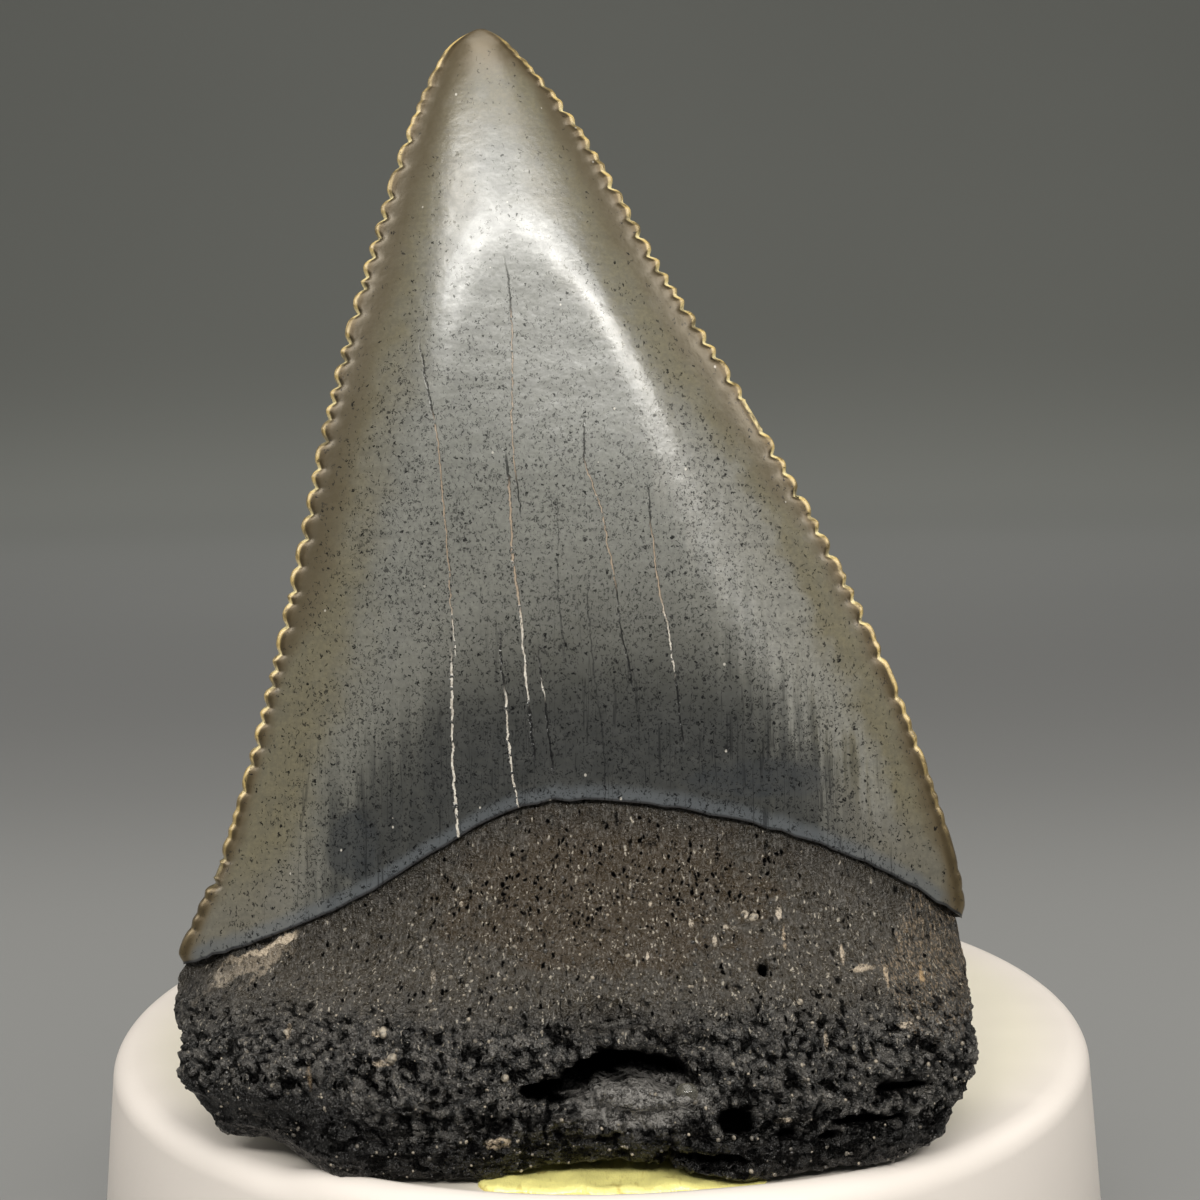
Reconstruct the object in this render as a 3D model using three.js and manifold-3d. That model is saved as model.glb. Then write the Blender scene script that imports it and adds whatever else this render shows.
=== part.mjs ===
// A fossil great white shark tooth standing upright on a round white plinth, on a pad of gold putty.
// Millimetres, +Z up. The origin is the middle of the plinth's flat underside, the tooth's inner
// (tongue) side faces -Y, and its tip points up and leans a little towards +Y.
import * as THREE from "three";
import { mergeVertices } from "three/addons/utils/BufferGeometryUtils.js";
import Module from "manifold-3d";

const { clamp, degToRad, lerp, smoothstep } = THREE.MathUtils;

// Plinth
const STAND_TOP_RADIUS = 25;
const STAND_HEIGHT = 22;
const STAND_TAPER = degToRad(5.1);
const STAND_EDGE_ROUND = 1.2;
const LIP_HEIGHT = 0.4;
const LIP_START = degToRad(-35);
const LIP_END = degToRad(40);

// Tooth: in its own upright frame z = 0 is the plinth's top and y = 0 the blade's mid-plane
const TOOTH_LEAN = degToRad(8);
const TOOTH_Y = -14.5;
const TIP_Z = 49.85;
const LEFT_SHOULDER = [-19.2, 7.2];
const RIGHT_SHOULDER = [16.65, 8.8];
const LEFT_EDGE_SLANT = degToRad(18);
const RIGHT_EDGE_SLANT = degToRad(29.5);
const EDGE_THICKNESS = 0.3;
const SERRATIONS = 52;
const SERRATION_DEPTH = 0.24;
const CROWN_FRONT = { tipSwell: 0.247, baseSwell: 0.196, doming: 0.154, leftShare: 1.08, thinning: 0.16 };
const FRONT_DISH = { depth: 0.13, x: -4.9, lean: 0.2, halfWidth: 0.25 };
const FRONT_RIDGE_ROUND = 0.13;
const CROWN_BACK = { tipSlope: 0.26, baseSlope: 0.32, middle: 0.9, thickening: 0.05 };
const LEFT_FLANK_STEEPER = 1.15;
const ENAMEL_STEP = 0.22;
const ROOT_MIDDLE_X = -1;
const ROOT_HALF_WIDTH = 18.6;
const ROOT_FRONT = { bulge: 8, thinning: 3.2, roll: 0.1, rollFrom: 0.86 };
const ROOT_BACK = { bulge: 3.8, thinning: 1.8, roll: 0.4, rollFrom: 0.45 };
const ROOT_LUMP = 0.28;
const ROOT_LUMP_SIZE = 3;

// Putty pad
const PUTTY_LEFT = -5.8;
const PUTTY_RIGHT = 7.4;
const PUTTY_FRONT = -23.2;
const PUTTY_BACK = -12.5;
const PUTTY_GAP = 0.3;

const wasm = await Module();
wasm.setup();

// A closed three.js geometry as a solid that can be joined and cut.
function toSolid(geometry) {
  const bare = geometry.clone();
  bare.deleteAttribute("normal");
  bare.deleteAttribute("uv");
  const merged = mergeVertices(bare, 1e-4);
  const vertProperties = new Float32Array(merged.attributes.position.array);
  const triVerts = new Uint32Array(merged.index.array);
  return new wasm.Manifold(new wasm.Mesh({ numProp: 3, vertProperties, triVerts }));
}

function toGeometry(solid) {
  const { vertProperties, triVerts } = solid.getMesh();
  const geometry = new THREE.BufferGeometry();
  geometry.setAttribute("position", new THREE.BufferAttribute(new Float32Array(vertProperties), 3));
  geometry.setIndex(new THREE.BufferAttribute(new Uint32Array(triVerts), 1));
  geometry.computeVertexNormals();
  return geometry;
}

// Moves every vertex of a geometry to where shape(x, y, z) puts it.
function reshape(geometry, shape) {
  const position = geometry.attributes.position;
  for (let i = 0; i < position.count; i++) {
    const place = shape(position.getX(i), position.getY(i), position.getZ(i));
    position.setXYZ(i, place.x, place.y, place.z);
  }
  return geometry;
}

// A smooth curve through [input, output] pairs, read at any input.
function smoothLine(points) {
  const last = points.length - 1;
  const slopeAt = (k) => {
    const before = points[Math.max(k - 1, 0)];
    const after = points[Math.min(k + 1, last)];
    return (after[1] - before[1]) / (after[0] - before[0]);
  };
  return (input) => {
    let k = 0;
    while (k < last - 1 && input > points[k + 1][0]) k++;
    const [start, startValue] = points[k];
    const [end, endValue] = points[k + 1];
    const span = end - start;
    const t = clamp((input - start) / span, 0, 1);
    const startSlope = slopeAt(k) * span;
    const endSlope = slopeAt(k + 1) * span;
    const bend = startSlope + endSlope - 2 * (endValue - startValue);
    const rise = endValue - startValue - startSlope - bend;
    return startValue + t * (startSlope + t * (rise + t * bend));
  };
}

// The smaller of several values, with the corners between them rounded over about `round`.
function softMin(round, ...values) {
  const sum = values.reduce((total, value) => total + Math.exp(-value / round), 0);
  return -round * Math.log(sum);
}

// Worn bone-like lumps: a smooth value between about -1 and 1 that looks irregular.
function lumps(x, y, z, size) {
  const a = x / size;
  const b = y / size;
  const c = z / size;
  const broad = Math.sin(a * 2.1 + 1.4 * Math.sin(b * 1.3 + c)) * Math.cos(c * 2.4 + Math.sin(a * 1.7));
  const fine = Math.sin(a * 5.3 + 2 * Math.sin(c * 3.1)) * Math.cos(c * 4.7 + b * 3.9 + 1.9);
  return 0.65 * broad + 0.35 * fine;
}

// ---- Tooth outline, in its upright frame ------------------------------------------------------

// The two cutting edges: x at each height.
const leftEdge = smoothLine([
  [LEFT_SHOULDER[1], LEFT_SHOULDER[0]],
  [9.2, -18.5],
  [12.8, -16.99],
  [18.4, -15.39],
  [25.3, -13.74],
  [32.6, -12.12],
  [39.7, -10.13],
  [45.7, -8.09],
  [48.7, -6.56],
  [49.85, -5.32],
]);
const rightEdge = smoothLine([
  [RIGHT_SHOULDER[1], RIGHT_SHOULDER[0]],
  [10.9, 16.45],
  [14.6, 15.42],
  [20.3, 13.4],
  [26, 10.77],
  [32.5, 7.2],
  [38.8, 3.35],
  [43.7, 0.63],
  [48.4, -2.89],
  [49.85, -4.34],
]);

// Lower border of the enamel: height at each x, on the inner (front) and outer (back) side.
const frontBorder = smoothLine([
  LEFT_SHOULDER,
  [-16.2, 8.2],
  [-11.1, 10.2],
  [-7, 12.6],
  [-4, 14.2],
  [-1, 14.7],
  [4.4, 14.1],
  [8.8, 12.9],
  [12.9, 11.1],
  RIGHT_SHOULDER,
]);
const backBorder = smoothLine([
  LEFT_SHOULDER,
  [-11, 8.6],
  [-1, 9.3],
  [8, 9.2],
  RIGHT_SHOULDER,
]);

// Thickness of the inner side's flattened middle, by distance from the tip.
const frontMiddle = smoothLine([
  [0, 2.87],
  [10, 3.17],
  [12.5, 3.33],
  [14.5, 3.52],
  [17, 3.74],
  [21, 4.02],
  [30, 4.18],
  [42, 4.05],
]);

// How far the enamel stands from the mid-plane on the inner side: a rounded spear point that is
// cut flatter below an arched ridge, with a shallow dish under the arch.
function crownFront(x, z) {
  const fromTip = Math.max(TIP_Z - z, 0);
  const left = leftEdge(z);
  const width = rightEdge(z) - left;
  const share = clamp((x - left) / width, 0, 1);
  const lower = smoothstep(fromTip, 12.5, 27);
  const swell = lerp(CROWN_FRONT.tipSwell, CROWN_FRONT.baseSwell, lower) * width;
  const spear = swell * Math.max(4 * share * (1 - share), 1e-6) ** 0.9;
  const skewed = share * share;
  const doming = Math.max(4 * skewed * (1 - skewed), 1e-6) ** (CROWN_FRONT.doming * lower);
  const tapered = CROWN_FRONT.leftShare - CROWN_FRONT.thinning * share;
  const aside = (x - FRONT_DISH.x - FRONT_DISH.lean * fromTip) / (FRONT_DISH.halfWidth * width);
  const dish = FRONT_DISH.depth * Math.exp(-aside * aside) * smoothstep(fromTip, 11, 16);
  const depth = softMin(FRONT_RIDGE_ROUND, spear, frontMiddle(fromTip) * doming * tapered - dish);
  return EDGE_THICKNESS / 2 + Math.max(depth, 0);
}

// The outer side: bevels along both edges that meet a broad middle. They get steeper, and the
// corners where they meet the middle softer, away from the tip.
function crownBack(x, z) {
  const fromTip = TIP_Z - z;
  const lower = smoothstep(fromTip, 6, 26);
  const slope = lerp(CROWN_BACK.tipSlope, CROWN_BACK.baseSlope, lower);
  const leftFlank = LEFT_FLANK_STEEPER * slope * (x - leftEdge(z)) * Math.cos(LEFT_EDGE_SLANT);
  const rightFlank = slope * (rightEdge(z) - x) * Math.cos(RIGHT_EDGE_SLANT);
  const middle = CROWN_BACK.middle + CROWN_BACK.thickening * fromTip;
  const depth = softMin(lerp(0.22, 0.8, lower), leftFlank, rightFlank, middle);
  return EDGE_THICKNESS / 2 + Math.max(depth, 0);
}

// ---- Crown: enamel blade with a row of rounded serrations down each edge ----------------------

const CROWN_COLUMNS = [-1, -0.92, -0.78, -0.56, -0.33, -0.13, 0.05, 0.32, 0.58, 0.8, 0.93, 1];

function crownGeometry() {
  const columns = CROWN_COLUMNS.length - 1;
  const rows = 2 * SERRATIONS;
  const cage = new THREE.BoxGeometry(1, 1, 1, columns, 1, rows);
  return reshape(cage, (u, v, w) => {
    const across = CROWN_COLUMNS[Math.round((u + 0.5) * columns)];
    const row = Math.round((0.5 - w) * rows);
    const down = row / rows;
    const leftZ = lerp(TIP_Z, LEFT_SHOULDER[1], down);
    const rightZ = lerp(TIP_Z, RIGHT_SHOULDER[1], down);
    const share = (across + 1) / 2;
    const x = lerp(leftEdge(leftZ), rightEdge(rightZ), share);
    const baseX = lerp(LEFT_SHOULDER[0], RIGHT_SHOULDER[0], share);
    const baseZ = lerp(LEFT_SHOULDER[1], RIGHT_SHOULDER[1], share);
    const border = v < 0 ? frontBorder(baseX) : backBorder(baseX);
    const z = lerp(leftZ, rightZ, share) + (border - baseZ) * down * down;
    const knob = Math.abs(across) === 1 ? serration(row, across) : 0;
    const depth = v < 0 ? crownFront(x, z) : crownBack(x, z);
    return new THREE.Vector3(x + across * knob, Math.sign(v) * depth, z - 0.3 * Math.abs(knob));
  });
}

// Outward reach of the cutting edge at a row: every second row is the top of a knob.
function serration(row, side) {
  const size = 0.85 + 0.3 * Math.sin(row * 2.7 + side * 1.9);
  const fade = smoothstep(row, 0, 8) * (1 - 0.5 * smoothstep(row, 2 * SERRATIONS - 10, 2 * SERRATIONS));
  return (row % 2 === 1 ? 0.5 : -0.5) * SERRATION_DEPTH * size * fade;
}

// ---- Root: one thick worn lump with two blunt lobes and a low arch between them ----------------

const rootLeft = smoothLine([
  [-0.5, -16.7],
  [0.8, -17.1],
  [1.8, -17.6],
  [3.1, -18.2],
  [4.6, -18.3],
  [6.2, -18.2],
  [7.2, -18.6],
  [11, -16.2],
]);
const rootRight = smoothLine([
  [-0.5, 14.7],
  [0.6, 15],
  [1.4, 15.8],
  [2.6, 16.5],
  [4, 16.2],
  [8.6, 16.3],
  [12, 14.2],
]);

// Height of the root's lower side over the plinth. A little below 0 is a foot that presses flat on it.
const underside = smoothLine([
  [-18.5, 1.9],
  [-16.2, 1.3],
  [-14.2, 1.55],
  [-12.6, 1.2],
  [-10.6, 0.45],
  [-8.4, 0.2],
  [-6.4, 0.05],
  [-4.8, -0.12],
  [-3.5, 0.2],
  [-0.5, 0.55],
  [1.6, 0.6],
  [3.9, 0.15],
  [6.2, -0.12],
  [8.4, 0.12],
  [12, 0.3],
  [14, 0.8],
  [15.2, 1.5],
  [16.5, 2.2],
]);

// Where the root's lower side lies in the tooth's upright frame, at a depth y from the mid-plane.
const lowerSide = (x, y, clearance) => {
  return (underside(x) + clearance + y * Math.sin(TOOTH_LEAN)) / Math.cos(TOOTH_LEAN);
};

// How far the root's surface stands from the mid-plane: it swells out below the enamel, rolls under
// at the bottom and thins towards the two lobes' ends.
function rootDepth(x, z, border, start, side) {
  const bottom = lowerSide(x, -side.bulge, 0);
  const down = clamp((border - z) / (border - bottom), 0, 1);
  const reach = Math.abs(x - ROOT_MIDDLE_X) / ROOT_HALF_WIDTH;
  const ends = Math.pow(Math.max(1 - Math.pow(reach, 8), 0.05), 0.25);
  const under = 1 - side.roll * Math.pow(clamp((down - side.rollFrom) / (1 - side.rollFrom), 0, 1), 2);
  const swollen = (side.bulge - side.thinning * Math.pow(reach, 4)) * ends;
  return lerp(start, swollen, smoothstep(down, 0.02, 0.7)) * under;
}

function rootFront(x, z) {
  const border = frontBorder(x);
  return rootDepth(x, z, border, crownFront(x, border) - ENAMEL_STEP, ROOT_FRONT);
}

function rootBack(x, z) {
  const border = backBorder(x);
  return rootDepth(x, z, border, crownBack(x, border) - ENAMEL_STEP, ROOT_BACK);
}

const ROOT_COLUMNS = 26;
const ROOT_DEPTH_STEPS = 5;
const ROOT_ROWS = 14;

function rootGeometry() {
  const cage = new THREE.BoxGeometry(1, 1, 1, ROOT_COLUMNS, ROOT_DEPTH_STEPS, ROOT_ROWS);
  return reshape(cage, (u, v, w) => {
    const backward = v + 0.5;
    const up = Math.pow(w + 0.5, 0.9);
    const roughZ = lerp(-0.5, lerp(13, 9, backward), up);
    const corner = 1 - 0.05 * Math.pow(Math.max(2 * v, 0), 2);
    const x = lerp(rootLeft(roughZ), rootRight(roughZ), u + 0.5) * corner;
    const border = lerp(frontBorder(x), backBorder(x), backward);
    const hollow = 1.2 * Math.sin(Math.PI * backward) * (1 - smoothstep(Math.abs(x - 1), 3, 8));
    const bottom = lowerSide(x, lerp(-7, 3.3, backward), hollow + 0.35 * backward);
    const z = lerp(bottom, border + 1.2, up);
    const inset = z > border ? 0.8 : 1;
    const y = lerp(-rootFront(x, z), rootBack(x, z), backward) * inset;
    const onSurface = Math.abs(v) === 0.5 || Math.abs(u) === 0.5;
    const raised = onSurface && z < border ? ROOT_LUMP * lumps(x, y, z, ROOT_LUMP_SIZE) : 0;
    const outward = new THREE.Vector3(2 * u, 5 * v, 0).normalize();
    return new THREE.Vector3(x + outward.x * raised, y + outward.y * raised, z);
  });
}

// Hollows worn into the root: [x, height, depth into the front face, half-width, half-height].
const ROOT_PITS = [
  [1.4, 3.9, 1.3, 2.2, 0.65],
  [-2.1, 2.95, 0.9, 1.45, 0.42],
  [5.0, 1.85, 0.9, 0.85, 0.6],
  [3.9, 0.15, 0.9, 1.6, 0.45],
  [7.05, 7.45, 0.6, 0.5, 0.45],
  [0, 5.9, 0.5, 1.4, 0.9],
  [-10.8, 1.6, 1.1, 3.6, 0.95],
  [10.4, 1.3, 0.7, 2.0, 0.4],
  [-7.6, 5.0, 0.45, 0.9, 0.5],
  [9.6, 5.2, 0.5, 0.8, 0.55],
  [-13.4, 5.6, 0.5, 0.75, 0.55],
];

// An egg-shaped cutter centred on the root's front face.
function pitGeometry([x, z, depth, halfWidth, halfHeight]) {
  const egg = new THREE.SphereGeometry(1, 9, 6);
  egg.rotateX(Math.PI / 2);
  egg.scale(halfWidth, depth, halfHeight);
  egg.translate(x, -rootFront(x, z), z);
  return egg;
}

function toothSolid() {
  let solid = toSolid(crownGeometry()).add(toSolid(rootGeometry()));
  for (const pit of ROOT_PITS) {
    solid = solid.subtract(toSolid(pitGeometry(pit)));
  }
  const leaning = toGeometry(solid).rotateX(-TOOTH_LEAN).translate(0, TOOTH_Y, 0);
  const belowFeet = new THREE.BoxGeometry(100, 100, 10).translate(0, 0, -5);
  return toSolid(leaning).subtract(toSolid(belowFeet));
}

// ---- Putty pad: a flat tongue of putty under the root's arch, squeezed out in front of it -------

function puttySolid(tooth) {
  const cage = new THREE.BoxGeometry(1, 1, 1, 9, 6, 1);
  const middle = (PUTTY_LEFT + PUTTY_RIGHT) / 2;
  const pad = reshape(cage, (u, v, w) => {
    const roundX = Math.sqrt(1 - 0.25 * Math.pow(2 * v, 4));
    const roundY = Math.sqrt(1 - 0.3 * Math.pow(2 * u, 4));
    const y = lerp(PUTTY_FRONT, PUTTY_BACK, 0.5 + v * roundY);
    const inward = smoothstep(y, PUTTY_FRONT + 1, PUTTY_FRONT + 4);
    const x = middle + (PUTTY_RIGHT - PUTTY_LEFT) * u * roundX * lerp(1, 0.62, inward);
    const thick = (0.7 + 1.3 * inward + 0.08 * lumps(x, y, 0, 2.2)) * roundX * roundY;
    return new THREE.Vector3(x, y, (w + 0.5) * thick);
  });
  const lowered = toSolid(toGeometry(tooth).translate(0, 0, -PUTTY_GAP));
  const forward = toSolid(toGeometry(tooth).translate(0, -PUTTY_GAP, 0));
  return toSolid(pad).subtract(lowered).subtract(forward).subtract(tooth);
}

// ---- Plinth: solid round block, slightly wider below, with a low lip across the front ----------

function standGeometry() {
  const shoulder = STAND_HEIGHT - STAND_EDGE_ROUND;
  const baseRadius = STAND_TOP_RADIUS + STAND_HEIGHT * Math.tan(STAND_TAPER);
  const roundInset = STAND_EDGE_ROUND * (1 / Math.cos(STAND_TAPER) - Math.tan(STAND_TAPER));
  const flatRadius = STAND_TOP_RADIUS - roundInset;
  const lipInside = flatRadius - 0.4;
  const profile = [new THREE.Vector2(0, 0), new THREE.Vector2(baseRadius, 0)];
  for (let i = 0; i <= 5; i++) {
    const angle = lerp(STAND_TAPER, Math.PI / 2, i / 5);
    const reach = flatRadius + STAND_EDGE_ROUND * Math.cos(angle);
    profile.push(new THREE.Vector2(reach, shoulder + STAND_EDGE_ROUND * Math.sin(angle)));
  }
  profile.push(new THREE.Vector2(lipInside, STAND_HEIGHT), new THREE.Vector2(0, STAND_HEIGHT));
  const lathe = new THREE.LatheGeometry(profile, 60).rotateX(Math.PI / 2);
  return reshape(lathe, (x, y, z) => {
    const fromFront = Math.atan2(x, -y);
    const rise = smoothstep(fromFront, LIP_START, LIP_START + 0.12);
    const fade = 1 - smoothstep(fromFront, 0.14, LIP_END);
    const across = smoothstep(Math.hypot(x, y), lipInside, flatRadius);
    const above = smoothstep(z, shoulder, STAND_HEIGHT);
    return new THREE.Vector3(x, y, z + LIP_HEIGHT * rise * fade * across * above);
  });
}

// ---- Assembly ----------------------------------------------------------------------------------

const enamel = new THREE.MeshStandardMaterial({ color: 0x8e9296, roughness: 0.35, metalness: 0 });
const goldPutty = new THREE.MeshStandardMaterial({ color: 0xd8c552, roughness: 0.55, metalness: 0.2 });
const whitePlastic = new THREE.MeshStandardMaterial({ color: 0xefe9e0, roughness: 0.6, metalness: 0 });

function piece(name, geometry, material, height) {
  const mesh = new THREE.Mesh(geometry, material);
  mesh.name = name;
  mesh.position.z = height;
  return mesh;
}

const toothOnPlinth = toothSolid();
const group = new THREE.Group();
group.add(piece("stand", standGeometry(), whitePlastic, 0));
group.add(piece("mounting_putty", toGeometry(puttySolid(toothOnPlinth)), goldPutty, STAND_HEIGHT));
group.add(piece("tooth", toGeometry(toothOnPlinth), enamel, STAND_HEIGHT));

export default group;
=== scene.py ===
import math

import bmesh
import bpy
import numpy as np
from mathutils import Euler, Matrix, Quaternion, Vector, noise


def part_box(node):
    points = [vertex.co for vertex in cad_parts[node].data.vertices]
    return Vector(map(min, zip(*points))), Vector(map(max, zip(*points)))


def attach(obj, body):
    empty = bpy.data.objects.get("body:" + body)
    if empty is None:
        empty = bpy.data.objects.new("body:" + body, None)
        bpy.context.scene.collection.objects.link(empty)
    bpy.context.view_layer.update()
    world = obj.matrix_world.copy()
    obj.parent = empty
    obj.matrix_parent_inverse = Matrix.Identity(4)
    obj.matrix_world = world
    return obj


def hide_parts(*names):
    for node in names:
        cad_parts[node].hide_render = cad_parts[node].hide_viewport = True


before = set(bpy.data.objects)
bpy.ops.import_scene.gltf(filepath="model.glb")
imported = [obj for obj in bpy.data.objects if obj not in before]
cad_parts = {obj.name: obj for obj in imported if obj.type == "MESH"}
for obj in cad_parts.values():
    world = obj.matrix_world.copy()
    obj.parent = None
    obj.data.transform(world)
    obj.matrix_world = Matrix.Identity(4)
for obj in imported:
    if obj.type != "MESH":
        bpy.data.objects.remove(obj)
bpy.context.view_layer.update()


# ==== Plinth ====================================================================================
# A round block of warm white moulded plastic, a little wider at the foot. Its rim is rounded and
# stands slightly proud along the front. The tooth stands on it, close to the front edge.

MM = 0.001
PLINTH_FOOT_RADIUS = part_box("stand")[1].x / MM
PLINTH_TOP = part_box("mounting_putty")[0].z / MM
PLINTH_TAPER = math.radians(5.1)
PLINTH_TOP_RADIUS = PLINTH_FOOT_RADIUS - PLINTH_TOP * math.tan(PLINTH_TAPER)
RIM_ROUND = 1.2
RIM_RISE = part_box("stand")[1].z / MM - PLINTH_TOP
FOOT_ROUND = 0.5
PLINTH_SIDES = 240
PLASTIC_WHITE = (0.74, 0.68, 0.62, 1)
PLASTIC_CREAM = (0.75, 0.70, 0.575, 1)
PLASTIC_STAIN = (0.70, 0.63, 0.55, 1)


def lerp(start, end, share):
    return start + (end - start) * share


def smoothstep(value, start, end):
    t = np.clip((value - start) / (end - start), 0, 1)
    return t * t * (3 - 2 * t)


def places(bm):
    """The x, y and z of every vertex of a bmesh, as three arrays."""
    return np.array([vert.co for vert in bm.verts]).T


def move_to(bm, x, y, z):
    for vert, place in zip(bm.verts, zip(x, y, z)):
        vert.co = place


def make_piece(bm, name, material):
    """Turns a bmesh in millimetres into a smooth piece in metres."""
    bmesh.ops.scale(bm, vec=(MM, MM, MM), verts=bm.verts)
    mesh = bpy.data.meshes.new(name)
    bm.to_mesh(mesh)
    bm.free()
    mesh.shade_smooth()
    mesh.materials.append(material)
    piece = bpy.data.objects.new(name, mesh)
    bpy.context.collection.objects.link(piece)
    return piece


def new_material(name):
    """An empty material: itself, its Principled BSDF and its Object coordinates."""
    material = bpy.data.materials.new(name)
    material.use_nodes = True
    place = material.node_tree.nodes.new("ShaderNodeTexCoord").outputs["Object"]
    return material, material.node_tree.nodes["Principled BSDF"], place


def feed(socket, value):
    """Sets a socket to a number or colour, or links it to another socket."""
    if isinstance(value, bpy.types.NodeSocket):
        socket.id_data.links.new(value, socket)
    else:
        socket.default_value = value


def finish(shader, **inputs):
    """Feeds inputs of a shader, each named with _ for a space."""
    for name, value in inputs.items():
        feed(shader.inputs[name.replace("_", " ")], value)


def add_node(beside, kind, **inputs):
    """A new node in the node tree of a given socket."""
    node = beside.id_data.nodes.new(kind)
    for name, value in inputs.items():
        feed(node.inputs[name], value)
    return node


def calculate(operation, first, second=0.0):
    known = first if isinstance(first, bpy.types.NodeSocket) else second
    node = add_node(known, "ShaderNodeMath")
    node.operation = operation
    feed(node.inputs[0], first)
    feed(node.inputs[1], second)
    return node.outputs[0]


def times(first, *others):
    for other in others:
        first = calculate("MULTIPLY", first, other)
    return first


def plus(first, second):
    return calculate("ADD", first, second)


def minus(first, second):
    return calculate("SUBTRACT", first, second)


def most(first, *others):
    """The largest of some values."""
    for other in others:
        first = calculate("MAXIMUM", first, other)
    return first


def ramp(value, start, end, low=0.0, high=1.0, course="SMOOTHSTEP"):
    """Goes from low to high while value goes from start to end."""
    node = add_node(value, "ShaderNodeMapRange")
    node.interpolation_type = course
    for socket, given in zip(node.inputs, (value, start, end, low, high)):
        feed(socket, given)
    return node.outputs[0]


def tint(mask, below, above):
    """Lays a colour over another where the mask is 1."""
    node = add_node(mask, "ShaderNodeMix")
    node.data_type = "RGBA"
    for number, value in ((0, mask), (6, below), (7, above)):
        feed(node.inputs[number], value)
    return node.outputs[2]


def layered(colour, *layers):
    """Lays (mask, colour) pairs over a colour, one after another."""
    for mask, above in layers:
        colour = tint(mask, colour, above)
    return colour


def stretch(place, scale, shift=(0, 0, 0)):
    """Coordinates scaled along each axis, and moved to another part of the pattern."""
    node = add_node(place, "ShaderNodeMapping", Vector=place, Scale=scale, Location=shift)
    return node.outputs["Vector"]


def clouds(place, scale, detail=2.0, roughness=0.5):
    """Soft irregular values around 0.5."""
    node = add_node(
        place, "ShaderNodeTexNoise", Vector=place, Scale=scale, Detail=detail, Roughness=roughness
    )
    return node.outputs["Fac"]


def relief(height, distance, strength=1.0, under=None):
    """A normal for a height field whose full range stands `distance` metres proud."""
    node = add_node(height, "ShaderNodeBump", Height=height, Distance=distance, Strength=strength)
    if under is not None:
        feed(node.inputs["Normal"], under)
    return node.outputs["Normal"]


def plinth_plastic():
    material, shader, place = new_material("warm_white_plastic")
    middle = add_node(place, "ShaderNodeVectorMath")
    middle.operation = "LENGTH"
    feed(middle.inputs[0], stretch(place, (1, 1, 0)))
    cream = ramp(middle.outputs["Value"], 0.0245, 0.021)
    blotches = ramp(clouds(place, 60, 3), 0.35, 0.75, 0, 0.12)
    finish(
        shader,
        Base_Color=layered(PLASTIC_WHITE, (cream, PLASTIC_CREAM), (blotches, PLASTIC_STAIN)),
        Roughness=ramp(clouds(place, 400, 2), 0.3, 0.7, 0.42, 0.52),
        Normal=relief(clouds(place, 2600, 2), 0.00002, 0.35),
    )
    return material


def plinth_mesh():
    bm = bmesh.new()
    inset = RIM_ROUND * (1 / math.cos(PLINTH_TAPER) - math.tan(PLINTH_TAPER))
    flat_radius = PLINTH_TOP_RADIUS - inset
    profile = [(0, 0), (PLINTH_FOOT_RADIUS - FOOT_ROUND, 0), (PLINTH_FOOT_RADIUS, FOOT_ROUND)]
    for step in range(13):
        angle = lerp(PLINTH_TAPER, math.pi / 2, step / 12)
        height = PLINTH_TOP - RIM_ROUND + RIM_ROUND * math.sin(angle)
        profile.append((flat_radius + RIM_ROUND * math.cos(angle), height))
    profile += [(flat_radius - inward, PLINTH_TOP) for inward in (0.2, 0.4, 2, 10, flat_radius)]
    verts = [bm.verts.new((radius, 0, height)) for radius, height in profile]
    edges = [bm.edges.new(pair) for pair in zip(verts, verts[1:])]
    bmesh.ops.spin(
        bm, geom=verts + edges, cent=(0, 0, 0), axis=(0, 0, 1), dvec=(0, 0, 0),
        angle=2 * math.pi, steps=PLINTH_SIDES, use_merge=True, use_duplicate=False,
    )
    bmesh.ops.remove_doubles(bm, verts=bm.verts, dist=1e-4)
    bmesh.ops.recalc_face_normals(bm, faces=bm.faces)

    x, y, z = places(bm)
    from_front = np.degrees(np.arctan2(x, -y))
    rise = smoothstep(from_front, -35, -28) * (1 - smoothstep(from_front, 8, 40))
    across = smoothstep(np.hypot(x, y), flat_radius - 0.4, flat_radius)
    above = smoothstep(z, PLINTH_TOP - RIM_ROUND, PLINTH_TOP)
    move_to(bm, x, y, z + RIM_RISE * rise * across * above)
    return bm


plinth = make_piece(plinth_mesh(), "plinth", plinth_plastic())
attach(plinth, "root")
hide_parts("stand")


# ==== Mounting putty ============================================================================
# A flat tongue of gold-yellow putty, pressed between the plinth and the arch under the root. A
# little of it is squeezed out in front, with a wavy edge and thumbed, streaky surface.

PUTTY_LEFT, PUTTY_RIGHT = -5.8, 7.4
PUTTY_FRONT, PUTTY_BACK = -23.2, -12.5
PUTTY_GOLD = (0.92, 0.84, 0.30, 1)
PUTTY_SHADE = (0.50, 0.39, 0.10, 1)


def smooth_line(*points):
    """A smooth curve through (input, output) points, read at any inputs."""
    at, out = np.array(points, float).T
    last = len(at) - 1
    before = np.maximum(np.arange(last + 1) - 1, 0)
    after = np.minimum(np.arange(last + 1) + 1, last)
    slope = (out[after] - out[before]) / (at[after] - at[before])

    def read(value):
        k = np.clip(np.searchsorted(at, value) - 1, 0, last - 1)
        span = at[k + 1] - at[k]
        t = np.clip((value - at[k]) / span, 0, 1)
        start_slope = slope[k] * span
        end_slope = slope[k + 1] * span
        bend = start_slope + end_slope - 2 * (out[k + 1] - out[k])
        rise = out[k + 1] - out[k] - start_slope - bend
        return out[k] + t * (start_slope + t * (rise + t * bend))

    return read


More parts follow.
